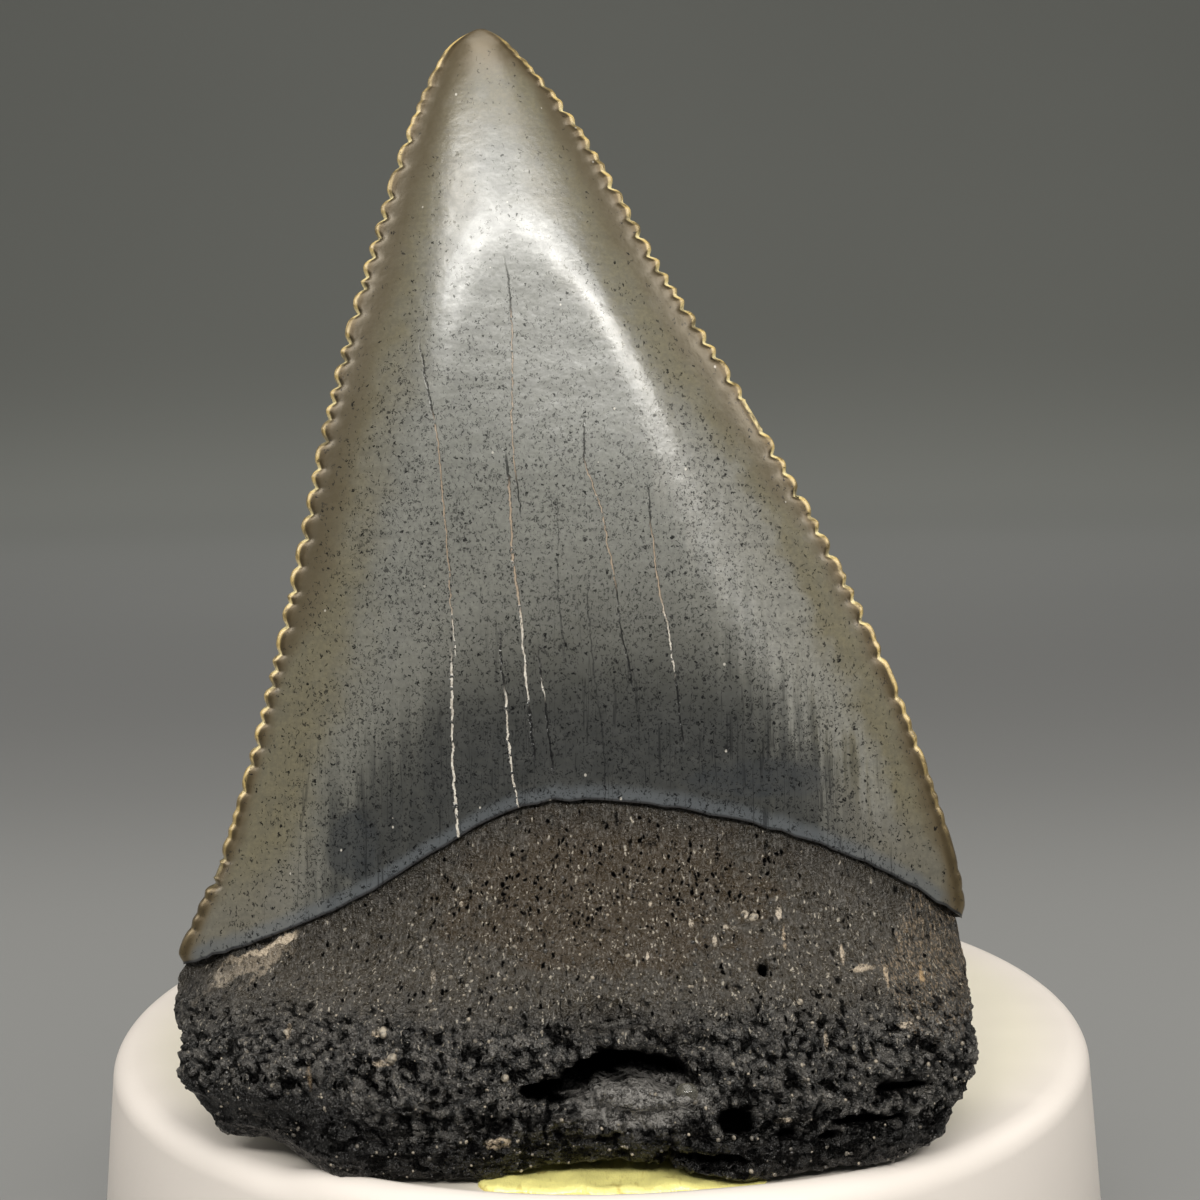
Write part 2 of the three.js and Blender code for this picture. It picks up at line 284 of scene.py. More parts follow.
# Height of the root's lower side over the plinth at each x.
underside = smooth_line(
    (-18.5, 1.9), (-16.2, 1.3), (-14.2, 1.25), (-12.6, 0.65), (-10.6, 0.05), (-8.4, 0.0),
    (-6.4, 0.0), (-4.8, -0.12), (-3.5, 0.2), (-0.5, 0.55), (1.6, 0.6), (3.9, 0.15), (6.2, -0.12),
    (8.4, 0.12), (12, 0.3), (14, 0.8), (15.2, 1.5), (16.5, 2.2),
)


def putty_material():
    material, shader, place = new_material("gold_putty")
    streaks = clouds(stretch(place, (1, 0.25, 1)), 2600, 3, 0.6)
    spots = clouds(place, 900, 3, 0.6)
    shades = (ramp(streaks, 0.55, 0.75, 0, 0.6), ramp(spots, 0.6, 0.72, 0, 0.7))
    finish(
        shader,
        Base_Color=layered(PUTTY_GOLD, *((shade, PUTTY_SHADE) for shade in shades)),
        Roughness=ramp(spots, 0.3, 0.7, 0.3, 0.5),
        Metallic=0.25,
        Normal=relief(streaks, 0.0001, 0.8, relief(clouds(place, 7000, 2), 0.00003, 0.7)),
    )
    return material


def divided_block(*cuts):
    """A block one unit across, its sides divided by so many cuts along x, y and z."""
    bm = bmesh.new()
    bmesh.ops.create_cube(bm, size=1)
    for axis, count in enumerate(cuts):
        along = [e for e in bm.edges if abs(e.verts[0].co[axis] - e.verts[1].co[axis]) > 1e-6]
        bmesh.ops.subdivide_edges(bm, edges=along, cuts=count, use_grid_fill=True)
    return bm


def putty_mesh():
    bm = divided_block(119, 89, 3)
    u, v, w = places(bm)
    wave = 0.25 * np.sin(u * 23) * np.cos(u * 9 + 1) * smoothstep(-v, 0.3, 0.5)
    round_x = np.sqrt(1 - 0.25 * (2 * v) ** 4)
    round_y = np.sqrt(1 - 0.3 * (2 * u) ** 4)
    y = lerp(PUTTY_FRONT, PUTTY_BACK, 0.5 + v * round_y) + wave * round_y
    inward = smoothstep(y, PUTTY_FRONT + 1, PUTTY_FRONT + 4)
    under_root = smoothstep(y, PUTTY_FRONT + 3, PUTTY_FRONT + 6)
    x = lerp(PUTTY_LEFT, PUTTY_RIGHT, 0.5 + u * round_x * lerp(1, 0.62, inward))
    ripple = np.array([noise.noise(Vector(p)) for p in zip(x * 1.3, y * 1.3, w)])
    edge = 1 - smoothstep(np.maximum(np.abs(2 * u), np.abs(2 * v)), 0.93, 1.0)
    under_arch = np.maximum(underside(x) + 0.35 + 0.9 * under_root, 0.25)
    thick = np.minimum(0.3 + 1.2 * under_root + 0.1 * ripple, under_arch)
    thick = thick * (1 - 0.6 * smoothstep(x, 2.5, 7))
    move_to(bm, x, y, PLINTH_TOP + (w + 0.5) * thick * (0.35 + 0.65 * np.sqrt(edge)))
    return bm


putty = make_piece(putty_mesh(), "putty_pad", putty_material())
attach(putty, "root")
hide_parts("mounting_putty")


# ==== Root ======================================================================================
# The thick bony root that sat in the gum, turned to dark stone: fibrous and finely pored under
# the enamel, gravelly lower down, with folded flanges and nutrient holes along the lower side.
# The tooth is worked out in its own upright frame: z = 0 is the plinth's top, y = 0 the blade's
# mid-plane and -y its inner side. It stands leaning back by TOOTH_LEAN.

TOOTH_LEAN = math.radians(8)
TOOTH_Y = -14.5
TIP_Z = 49.85
LEFT_SHOULDER = (-18.95, 7.2)
RIGHT_SHOULDER = (16.5, 8.8)
ENAMEL_STEP = 0.22
EDGE_HALF = 0.15
ROOT_MIDDLE_X = -1
ROOT_HALF_WIDTH = 18.6
ROOT_FRONT = dict(bulge=8, thinning=3.2, roll=0.1, roll_from=0.86)
ROOT_BACK = dict(bulge=3.8, thinning=1.8, roll=0.4, roll_from=0.45)

# The cutting edges and the root's ends: height and x. The enamel's borders: x and height.
left_edge = smooth_line(
    LEFT_SHOULDER[::-1], (7.7, -19.15), (9.2, -18.5), (12.8, -16.99), (18.4, -15.39),
    (25.3, -13.74), (32.6, -12.12), (39.7, -10.13), (45.7, -8.09), (48.7, -6.56), (TIP_Z, -5.32),
)
right_edge = smooth_line(
    RIGHT_SHOULDER[::-1], (9.4, 16.65), (10.9, 16.45), (14.6, 15.42), (20.3, 13.4), (26, 10.77),
    (32.5, 7.2), (38.8, 3.35), (43.7, 0.63), (46.3, -1.06), (48.4, -2.84), (TIP_Z, -4.34),
)
front_border = smooth_line(
    LEFT_SHOULDER, (-16.2, 8.2), (-11.1, 10.2), (-7, 12.6), (-4, 14.2), (-1, 14.7), (4.4, 14.1),
    (8.8, 12.9), (12.9, 11.1), RIGHT_SHOULDER,
)
back_border = smooth_line(LEFT_SHOULDER, (-11, 8.6), (-1, 9.3), (8, 9.2), RIGHT_SHOULDER)
root_left = smooth_line(
    (-0.5, -16.7), (0.8, -17.1), (1.8, -17.6), (3.1, -18.2), (4.6, -18.4), (6.2, -18.7),
    (7.2, -19.25), (8.4, -18.8), (11, -16.4),
)
root_right = smooth_line(
    (-0.5, 14.7), (0.6, 15), (1.4, 15.8), (2.6, 16.5), (4, 16.2), (8.6, 16.3), (12, 14.2),
)

# Depth of the blade's raised middle at each distance from the tip.
plateau = smooth_line(
    (0, 2.87), (10, 3.17), (12.5, 3.33), (14.5, 3.52), (17, 3.74), (21, 4.02), (30, 4.18),
    (42, 4.05),
)


def soft_min(rounding, *values):
    return -rounding * np.log(sum(np.exp(-value / rounding) for value in values))


def edge_distances(x, z):
    """How far a point of the blade is from the left and from the right cutting edge."""
    from_left = (x - left_edge(z)) * math.cos(math.radians(18))
    from_right = (right_edge(z) - x) * math.cos(math.radians(29.5))
    return np.maximum(from_left, 0), np.maximum(from_right, 0)


def with_bead(x, z, raised):
    """Rounds the last bit of the blade's depth down to its thin cutting edges."""
    from_left, from_right = edge_distances(x, z)
    bead = 1 - np.clip(np.minimum(from_left, from_right) / EDGE_HALF, 0, 1)
    return EDGE_HALF * np.sqrt(1 - bead * bead) + np.maximum(raised, 0)


def crown_front(x, z):
    """Depth of the blade's inner side: a rounded spear point, cut flatter below an arched ridge."""
    from_tip = np.maximum(TIP_Z - z, 0)
    left, right = left_edge(z), right_edge(z)
    width = right - left
    share = np.clip((x - left) / width, 0, 1)
    lower = smoothstep(from_tip, 12.5, 27)
    spear = lerp(0.247, 0.196, lower) * width * np.clip(4 * share * (1 - share), 1e-6, 1) ** 0.9
    skewed = np.clip(share - share * (1 - share), 0, 1)
    middle = plateau(from_tip) * np.clip(4 * skewed * (1 - skewed), 1e-6, 1) ** (0.154 * lower)
    middle = middle * (1.08 - 0.16 * share)
    aside = (x + 4.9 - 0.2 * from_tip) / (0.25 * width)
    dish = 0.13 * np.exp(-(aside**2)) * smoothstep(from_tip, 11, 16)
    return with_bead(x, z, soft_min(0.09, spear, middle - dish))


def crown_back(x, z):
    """Depth of the blade's outer side: bevels along both edges and a broad, nearly flat middle."""
    from_tip = np.maximum(TIP_Z - z, 0)
    lower = smoothstep(from_tip, 6, 26)
    slope = lerp(0.26, 0.32, lower)
    from_left, from_right = edge_distances(x, z)
    rounding = lerp(0.22, 0.8, lower)
    raised = soft_min(rounding, 1.15 * slope * from_left, slope * from_right, 0.9 + 0.05 * from_tip)
    return with_bead(x, z, raised)


def root_depth(x, z, border, start, side):
    """How far the root stands from the mid-plane: it swells below the enamel and rolls under."""
    bottom = (underside(x) - side["bulge"] * math.sin(TOOTH_LEAN)) / math.cos(TOOTH_LEAN)
    down = np.clip((border - z) / (border - bottom), 0, 1)
    reach = np.abs(x - ROOT_MIDDLE_X) / ROOT_HALF_WIDTH
    ends = np.maximum(1 - reach**8, 0.05) ** 0.25
    rolled = np.clip((down - side["roll_from"]) / (1 - side["roll_from"]), 0, 1)
    under = 1 - side["roll"] * rolled**2
    swollen = (side["bulge"] - side["thinning"] * reach**4) * ends
    return lerp(start, swollen, smoothstep(down, 0.02, 0.7)) * under


def root_front(x, z):
    border = front_border(x)
    return root_depth(x, z, border, crown_front(x, border) - ENAMEL_STEP, ROOT_FRONT)


def root_back(x, z):
    border = back_border(x)
    return root_depth(x, z, border, crown_back(x, border) - ENAMEL_STEP, ROOT_BACK)


def stand_tooth(bm, x, y, z):
    """Puts points of the tooth's upright frame where they stand on the plinth."""
    lean_cos, lean_sin = math.cos(TOOTH_LEAN), math.sin(TOOTH_LEAN)
    standing_y = TOOTH_Y + y * lean_cos + z * lean_sin
    standing_z = PLINTH_TOP - y * lean_sin + z * lean_cos
    move_to(bm, x, standing_y, standing_z)


def note(piece, name, values):
    """Keeps a value for each vertex, for the material to read."""
    attribute = piece.data.attributes.new(name, "FLOAT", "POINT")
    attribute.data.foreach_set("value", np.asarray(values, np.float32))


# Nutrient holes and worn hollows of the root's inner side: x, height, depth, half-width and
# half-height.
ROOT_HOLLOWS = (
    (1.3, 3.95, 2.4, 2.35, 0.6),
    (2.9, 3.3, 1.6, 1.0, 0.45),
    (-2.0, 2.9, 1.8, 1.5, 0.45),
    (-1.0, 3.5, 0.7, 0.8, 0.5),
    (5.4, 1.75, 1.6, 0.85, 0.5),
    (4.0, 0.05, 1.5, 2.0, 0.36),
    (6.95, 7.6, 0.8, 0.26, 0.32),
    (-0.1, 5.9, 0.3, 1.8, 0.7),
    (3.3, 5.0, 0.35, 1.2, 0.5),
    (7.7, 1.1, 0.6, 0.5, 0.3),
    (9.4, 0.85, 0.6, 0.55, 0.28),
    (10.9, 1.4, 0.6, 2.1, 0.2),
    (12.9, 2.6, 0.6, 1.4, 0.28),
    (-7.6, 4.9, 0.25, 1.1, 0.35),
    (-4.6, 1.6, 0.4, 1.1, 0.3),
    (9.9, 5.0, 0.28, 0.8, 0.3),
    (11.6, 6.4, 0.28, 0.5, 0.25),
    (-14.8, 8.6, 0.3, 0.35, 0.3),
    (14.0, 4.1, 0.35, 0.9, 0.3),
)
# Rounded lumps between them, given in the same way.
ROOT_LUMPS = (
    (1.7, 2.75, 0.75, 2.1, 0.55),
    (-0.6, 1.6, 0.35, 2.4, 0.5),
    (1.3, 5.1, 0.4, 2.3, 0.45),
    (7.6, 2.4, 0.4, 1.6, 0.5),
    (12.5, 3.5, 0.4, 2.2, 0.5),
    (-12.6, 4.0, 0.35, 2.6, 0.6),
    (-8.4, 2.6, 0.3, 1.8, 0.5),
)
# Height of the fold on the left, under which the root is undercut.
undercut_fold = smooth_line((-18, 2.7), (-14, 2.3), (-11, 1.8), (-8, 1.5), (-4.5, 0.9), (-1, 0.4))


def root_relief(x, y, z, below):
    """Height of the root's relief `below` millimetres under the enamel, and its finest part."""
    place = Vector((x, y, z))
    gravelly = min(max((6.9 - z) / 2.4, 0), 1) * min(below / 2, 1)
    low = min(max((3.6 - z) / 2.4, 0), 1)
    overhang = min(max((3.3 - z) / 0.8, 0), 1) * min(max((-9.5 - x) / 1.5, 0), 1)
    patchy = noise.noise(place / 1.3 + Vector((9, 2, 5)))
    shaken = place + noise.noise_vector(place / 0.6) * 0.16
    pebble = 0.5 - noise.voronoi(shaken / 0.46)[0][0]
    bead = 0.5 - noise.voronoi(shaken / 0.26 + Vector((3, 8, 4)))[0][0]
    fibre = noise.noise(Vector((x / 0.22, y / 0.22, z / 1.1)))
    stretched = Vector((x / 2.6, y / 1.5, z / 0.7)) + shaken / 6
    folds = noise.ridged_multi_fractal(stretched, 1.0, 2.0, 3, 0.9, 1.6) - 1
    gravelly *= 1 - 0.75 * overhang
    grain = gravelly * (0.3 + 0.25 * patchy) * pebble + (0.06 + 0.16 * gravelly) * bead
    grain += 0.07 * (1 - gravelly) * fibre
    holes, points = noise.voronoi(shaken / 0.5 + Vector((1, 1, 6)))
    if noise.cell(points[0] * 3.7) < 0.7 * gravelly - 1:
        grain -= 0.3 * max(0, 1 - (holes[0] / 0.34) ** 2)
    broad = 0.14 * noise.fractal(place / 2.2, 1.0, 2.0, 3) + 0.2 * low * folds
    return broad + grain, grain


def blob(x, z, wobble, middle_x, middle_z, half_width, half_height):
    """1 inside an irregular oval, 0 outside it."""
    away = np.hypot((x - middle_x) / half_width, (z - middle_z) / half_height) + wobble
    return 1 - smoothstep(away, 0.6, 1.15)


def root_mesh():
    bm = divided_block(299, 29, 109)
    u, v, w = places(bm)
    backward = v + 0.5
    up = (w + 0.5) ** 0.9
    rough_z = lerp(-0.5, lerp(13, 9, backward), up)
    corner = 1 - 0.05 * np.maximum(2 * v, 0) ** 2
    x = lerp(root_left(rough_z), root_right(rough_z), u + 0.5) * corner
    border = lerp(front_border(x), back_border(x), backward)
    hollow = 1.2 * np.sin(math.pi * backward) * (1 - smoothstep(np.abs(x - 1), 3, 8))
    clearance = underside(x) + hollow + 0.35 * backward
    bottom = (clearance + lerp(-7, 3.3, backward) * math.sin(TOOTH_LEAN)) / math.cos(TOOTH_LEAN)
    z = lerp(bottom, border + 1.2, up)
    inset = 1 - 0.22 * smoothstep(z - border, -0.05, 0.5)
    y = lerp(-root_front(x, z), root_back(x, z), backward) * inset
    fold = undercut_fold(x)
    under = np.clip((fold - z) / (fold - bottom + 0.3), 0, 1) ** 0.8
    y += 1.9 * under * (1 - smoothstep(x, -14.5, -11)) * (1 - backward)
    y -= 0.9 * np.exp(-(((x - 5) / 4) ** 2)) * (1 - backward) * (1 - smoothstep(z, 0.5, 4.5))
    move_to(bm, x, y, z)
    for _ in range(14):
        bmesh.ops.smooth_vert(
            bm, verts=bm.verts, factor=0.5, use_axis_x=True, use_axis_y=True, use_axis_z=True,
        )
    bm.normal_update()

    x, y, z = places(bm)
    normal = np.array([vert.normal for vert in bm.verts])
    border = np.where(normal[:, 1] < 0, front_border(x), back_border(x))
    below = border - z
    shown = smoothstep(below, 0.05, 0.7)
    shown *= 1 - 0.5 * (1 - smoothstep(z, 0, 1.8))
    relief_height, grain = np.array([root_relief(*p) for p in zip(x, y, z, below)]).T * shown
    stretched = zip(x * 0.9, y * 0.9, z * 1.5)
    wobble = 0.35 * np.array([noise.fractal(Vector(p), 1.0, 2.0, 2) for p in stretched])
    faces_front = smoothstep(-y, 1.5, 3)
    hollows = np.zeros(len(x))
    lumps = np.zeros(len(x))
    for middle_x, middle_z, depth, *half_sizes in ROOT_HOLLOWS:
        hollows = np.maximum(hollows, depth * blob(x, z, wobble, middle_x, middle_z, *half_sizes))
    for middle_x, middle_z, height, *half_sizes in ROOT_LUMPS:
        lumps = np.maximum(lumps, height * blob(x, z, wobble, middle_x, middle_z, *half_sizes))
    out = relief_height + (lumps - hollows) * faces_front
    out = np.minimum(out, 0.5 + 0.25 * (out - 0.5))
    stand_tooth(bm, *(np.array((x, y, z)) + normal.T * out))
    for vert in bm.verts:
        vert.co.z = max(vert.co.z, PLINTH_TOP)
    # How deep each point lies in a hollow, which the material paints black as shade.
    dark = np.clip(hollows * faces_front / 0.8, 0, 1)
    # Each point's rank in the fine relief, which the material reads for painted highlight on the
    # raised tops and painted shade in the low valleys.
    level = np.argsort(np.argsort(grain)) / len(x)
    return bm, below, level, dark


def fleck_group(name, dimensions):
    """Scattered small spots: a share of the cells of a random pattern holds one spot each."""
    group = bpy.data.node_groups.new(name, "ShaderNodeTree")
    group.interface.new_socket("Place", in_out="INPUT", socket_type="NodeSocketVector")
    for socket in ("Scale", "Share", "Size"):
        group.interface.new_socket(socket, in_out="INPUT", socket_type="NodeSocketFloat")
    group.interface.new_socket("Mask", in_out="OUTPUT", socket_type="NodeSocketFloat")
    given = group.nodes.new("NodeGroupInput")
    result = group.nodes.new("NodeGroupOutput")
    cells = group.nodes.new("ShaderNodeTexVoronoi")
    cells.voronoi_dimensions = dimensions
    feed(cells.inputs["Vector"], given.outputs["Place"])
    feed(cells.inputs["Scale"], given.outputs["Scale"])
    pick = add_node(cells.outputs["Color"], "ShaderNodeSeparateColor", Color=cells.outputs["Color"])
    chosen = calculate("LESS_THAN", pick.outputs["Red"], given.outputs["Share"])
    reach = times(given.outputs["Size"], ramp(pick.outputs["Green"], 0, 1, 0.4, 1))
    inner = times(reach, 0.5)
    spot = ramp(cells.outputs["Distance"], reach, inner)
    feed(result.inputs["Mask"], times(spot, chosen))
    return group


stone_flecks = fleck_group("Stone flecks", "3D")


def flecks(place, scale, share, size, pattern=stone_flecks):
    node = add_node(place, "ShaderNodeGroup")
    node.node_tree = pattern
    for name, value in (("Place", place), ("Scale", scale), ("Share", share), ("Size", size)):
        feed(node.inputs[name], value)
    return node.outputs["Mask"]


def upright_place(place):
    """Object coordinates in millimetres of the tooth's upright frame: the vector, x, y and z."""
    lean_cos, lean_sin = math.cos(TOOTH_LEAN), math.sin(TOOTH_LEAN)
    back = -TOOTH_Y * lean_cos + PLINTH_TOP * lean_sin
    up = -TOOTH_Y * lean_sin - PLINTH_TOP * lean_cos
    upright = stretch(place, (1 / MM,) * 3, (0, back, up))
    upright.node.inputs["Rotation"].default_value = (TOOTH_LEAN, 0, 0)
    axes = add_node(place, "ShaderNodeSeparateXYZ", Vector=upright)
    return upright, axes.outputs["X"], axes.outputs["Y"], axes.outputs["Z"]


def ramp_straight(value, start, end, low, high):
    return ramp(value, start, end, low, high, "LINEAR")


def warped(place, scale, reach):
    """A place shaken about, so that a pattern laid over it isn't even."""
    swirl = add_node(place, "ShaderNodeTexNoise", Vector=place, Scale=scale)
    bent = add_node(place, "ShaderNodeVectorMath")
    bent.operation = "MULTIPLY_ADD"
    for socket, value in zip(bent.inputs, (swirl.outputs["Color"], reach, place)):
        feed(socket, value)
    return bent.outputs["Vector"]


def vertex_note(beside, name):
    node = add_node(beside, "ShaderNodeAttribute")
    node.attribute_name = name
    return node.outputs["Fac"]


def drawn_line(along, across, points, width, taper=1.5):
    """1 on a line through (along, across) points, 0 beside it, thinning out to its far end."""
    heights, sides = zip(*points)
    low, high = min(heights), max(heights)
    left, right = min(sides) - 0.2, max(sides) + 0.2
    curve = add_node(along, "ShaderNodeFloatCurve")
    line = curve.mapping.curves[0]
    shares = [(height - low) / (high - low) for height in heights]
    drawn = sorted(zip(shares, [(side - left) / (right - left) for side in sides]))
    line.points[0].location = drawn[0]
    line.points[1].location = drawn[-1]
    for point in drawn[1:-1]:
        line.points.new(*point)
    curve.mapping.update()
    feed(curve.inputs["Value"], ramp_straight(along, low, high, 0, 1))
    centre = ramp_straight(curve.outputs["Value"], 0, 1, left, right)
    aside = calculate("ABSOLUTE", minus(across, centre))
    line_mask = ramp(aside, width, width * 0.45)
    begun = ramp(along, low - 0.1, low + 0.3)
    return times(line_mask, begun, ramp(along, high, high - taper))


def oval(x, z, middle_x, middle_z, half_width, half_height, wander):
    """A soft irregular spot on the tooth's front, given in its upright frame."""
    across = times(minus(x, middle_x), 1 / half_width)
    upward = times(minus(z, middle_z), 1 / half_height)
    squares = plus(times(across, across), times(upward, upward))
    return ramp(plus(squares, wander), 1.2, 0.5)


ROOT_BROWN = (0.030, 0.023, 0.013, 1)
ROOT_RUST = (0.036, 0.023, 0.009, 1)
ROOT_GREY = (0.049, 0.043, 0.034, 1)
ROOT_PALE = (0.20, 0.185, 0.165, 1)
ROOT_TAN = (0.27, 0.19, 0.11, 1)
# Painted shade for the strip just under the enamel's step.
ROOT_UNDER_ENAMEL_SHADE = (0.014, 0.011, 0.007, 1)
STONE_DARK = (0.020, 0.019, 0.017, 1)
STONE_LIGHT = (0.09, 0.084, 0.076, 1)
# Painted highlight for the raised tops of the stones.
STONE_TOP_HIGHLIGHT = (0.15, 0.14, 0.125, 1)
STONE_SUGAR = (0.34, 0.305, 0.25, 1)
STREAK_PALE = (0.42, 0.375, 0.30, 1)
# Painted shade for the root's lowest part and its undercut left end.
UNDERCUT_SHADE_BLACK = (0.009, 0.008, 0.007, 1)
LUMP_GREY = (0.19, 0.18, 0.165, 1)
SCAR_PALE = (0.50, 0.41, 0.30, 1)
MARK_PALE = np.array((0.48, 0.41, 0.32, 1))
MARK_BROWN = np.array((0.36, 0.24, 0.12, 1))
# Black for the pores, and painted shade in gaps, holes, folds and valleys.
PORE_AND_SHADE_BLACK = (0.001, 0.001, 0.001, 1)
# A scraped pale line under the left end of the enamel: x and height along it.
ROOT_SCAR = ((-13.2, 8.9), (-14.0, 8.6), (-15.0, 8.1), (-16.2, 7.65), (-17.3, 7.2), (-18.6, 6.7))
# Pale streaks and pebbles set in the root: x, height, half-width, half-height, how brown.
ROOT_STREAKS = (
    (6.3, 9.75, 0.2, 0.22, 0), (7.75, 9.75, 0.14, 0.3, 0), (7.9, 8.75, 0.12, 0.5, 0.5),
    (3.9, 9.45, 0.12, 0.14, 0), (5.4, 9.25, 0.16, 0.13, 0), (4.9, 8.75, 0.1, 0.25, 0),
    (10.4, 8.0, 0.1, 0.5, 0.3), (11.3, 7.4, 0.5, 0.16, 0.3), (12.3, 7.0, 0.12, 0.4, 0.5),
    (14.0, 6.85, 0.14, 0.4, 1), (2.0, 8.25, 0.1, 0.2, 0), (2.2, 10.3, 0.1, 0.15, 0),
    (9.4, 4.7, 0.1, 0.4, 0.2), (-9.4, 5.2, 0.3, 0.15, 0.3), (-9.0, 4.15, 0.5, 0.2, 0.3),
    (-13.3, 5.2, 0.12, 0.35, 0.4), (-4.3, 0.8, 0.5, 0.3, 0.4), (-7.1, 7.4, 0.1, 0.25, 0),
    (-6.0, 10.3, 0.1, 0.12, 0), (-12.2, 3.6, 0.15, 0.6, 0.8), (12.9, 5.1, 0.3, 0.12, 0.2),
    (7.5, 1.7, 0.4, 0.15, 0.2), (-17.2, 6.9, 0.8, 0.35, 0.1), (-18.2, 6.2, 0.35, 0.7, 0.1),
)


def root_stone():
    material, shader, place = new_material("fossil_root")
    spot, x, y, z = upright_place(place)
    below, raised, cavity = (
        vertex_note(place, name) for name in ("below_enamel", "relief", "cavity")
    )
    wander = ramp(clouds(spot, 0.9, 3, 0.6), 0.2, 0.8, -0.6, 0.6)
    fine = clouds(spot, 3.2, 3, 0.65)
    fibres = clouds(stretch(spot, (5, 5, 1.1)), 1.9, 3, 0.6)
    bent = warped(spot, 2.5, (0.4, 0.4, 0.4))
    faces_front = ramp(y, -1.5, -3)

    # Bone grain: brown to grey, rusty in the middle, with fine upright fibres, and painted shade
    # darkening the strip just under the enamel.
    rusty = oval(x, z, 0.5, 10.8, 7.5, 3.6, wander)
    colour = layered(
        ROOT_BROWN,
        (ramp(fine, 0.42, 0.66), ROOT_GREY),
        (times(rusty, 0.8), ROOT_RUST),
        (ramp(plus(below, wander), 2.2, 0.4, 0, 0.5), ROOT_UNDER_ENAMEL_SHADE),
        (ramp(fibres, 0.55, 0.68, 0, 0.45), ROOT_PALE),
    )

    # Gravelly lower half: a crust of small stones, each of its own brightness, with a painted
    # highlight on their raised tops.
    gravel = add_node(bent, "ShaderNodeTexVoronoi", Vector=bent, Scale=3.4)
    gravel_tone = add_node(bent, "ShaderNodeSeparateColor", Color=gravel.outputs["Color"])
    gravel_top = plus(gravel.outputs["Distance"], ramp(fine, 0.3, 0.7, -0.15, 0.15))
    gravel_top = ramp(gravel_top, 0.6, 0.25)
    stones = layered(
        STONE_DARK,
        (ramp(gravel_tone.outputs["Red"], 0.3, 1.0), STONE_LIGHT),
        (ramp(raised, 0.55, 0.95, 0, 0.8), STONE_TOP_HIGHLIGHT),
    )
    lower = ramp(plus(z, wander), 7.0, 4.6)
    sugar = flecks(bent, 6.0, ramp(clouds(spot, 1.3, 3), 0.36, 0.6, 0.1, 0.6), 0.36)
    streaks = flecks(stretch(bent, (6, 6, 1.9)), 1.0, ramp(below, 0.8, 3.5, 0.15, 0.6), 0.36)
    right_side = oval(x, z, 14.8, 7.2, 2.6, 3.0, wander)
    # Painted shade: darker towards the root's bottom, reaching higher where the left end is
    # undercut over the plinth.
    overhang = plus(z, ramp(x, -8, -12.5, 0, -1.9))
    colour = layered(
        colour,
        (lower, stones),
        (times(sugar, ramp(below, 1, 5, 0.2, 0.75)), STONE_SUGAR),
        (times(streaks, ramp(z, 2, 5), 0.75), STREAK_PALE),
        (times(right_side, ramp(fibres, 0.5, 0.62), 0.55), ROOT_TAN),
        (ramp(plus(overhang, times(wander, 0.5)), 1.7, 0.7, 0, 0.9), UNDERCUT_SHADE_BLACK),
    )

    # Black pores under the enamel, and painted shade in the gaps between the stones, in the holes,
    # in the folds near the bottom and in the low valleys.
    gaps = times(ramp(gravel_top, 0.5, 0.1, 0, 0.35), lower)
    pore_belt = times(oval(x, z, 0.5, 11.0, 8.0, 2.2, wander), 0.8)
    pore_patches = ramp(clouds(spot, 1.1, 3), 0.4, 0.58, 0.25, 1.2)
    pore_share = times(most(pore_belt, 0.2), pore_patches)
    pores = flecks(stretch(bent, (1.2, 1.2, 0.6)), 4.2, pore_share, 0.6)
    folds = ramp(clouds(stretch(bent, (0.7, 1, 2.2)), 1.3, 3, 0.65), 0.46, 0.56)
    folds = times(folds, ramp(plus(z, wander), 2.8, 1.4), 0.9)
    valleys = ramp(raised, 0.22, 0.09, 0, 0.9)
    pores_and_shade = most(
        pores, gaps, ramp(cavity, 0.2, 0.7), valleys, folds, ramp(fibres, 0.42, 0.3, 0, 0.8)
    )

    # Pale marks lie over the black pores and the painted shade.
    grey_lump = oval(x, z, 1.6, 2.5, 3.2, 1.05, times(wander, 0.7))
    grey_lump = times(grey_lump, ramp(fine, 0.34, 0.55, 0.35, 1))
    shaken = ramp(clouds(spot, 1.6, 3, 0.7), 0.2, 0.8, -0.5, 0.5)
    line = drawn_line(x, plus(z, times(shaken, 0.5)), ROOT_SCAR, 0.22, 0.4)
    under_line = plus(z, plus(times(shaken, 1.2), 0.35))
    haze = drawn_line(x, under_line, ROOT_SCAR, 0.55, 1.0)
    scar = times(most(line, times(haze, 0.35)), ramp(fine, 0.3, 0.44, 0.3, 1), faces_front)
    pale = most(scar, grey_lump)
    colour = layered(colour, (grey_lump, LUMP_GREY), (scar, SCAR_PALE))
    for at_x, at_z, half_width, half_height, brown in ROOT_STREAKS:
        mark = oval(x, z, at_x, at_z, half_width, half_height, times(shaken, 2.2))
        mark = times(mark, faces_front, ramp(fine, 0.38, 0.56, 0.15, 1))
        colour = tint(mark, colour, lerp(MARK_PALE, MARK_BROWN, brown))
        pale = most(pale, mark)
    pores_and_shade = times(pores_and_shade, minus(1, pale))

    bumps = relief(times(gravel_top, lower), 0.0003, 1.0)
    bumps = relief(fibres, 0.00010, 0.8, bumps)
    finish(
        shader,
        Base_Color=tint(pores_and_shade, colour, PORE_AND_SHADE_BLACK),
        Metallic=pores_and_shade,
        Roughness=ramp(fine, 0.3, 0.7, 0.22, 0.42),
        IOR=1.5,
        Normal=relief(clouds(spot, 7, 2, 0.7), 0.00018, 1.0, bumps),
    )
    return material


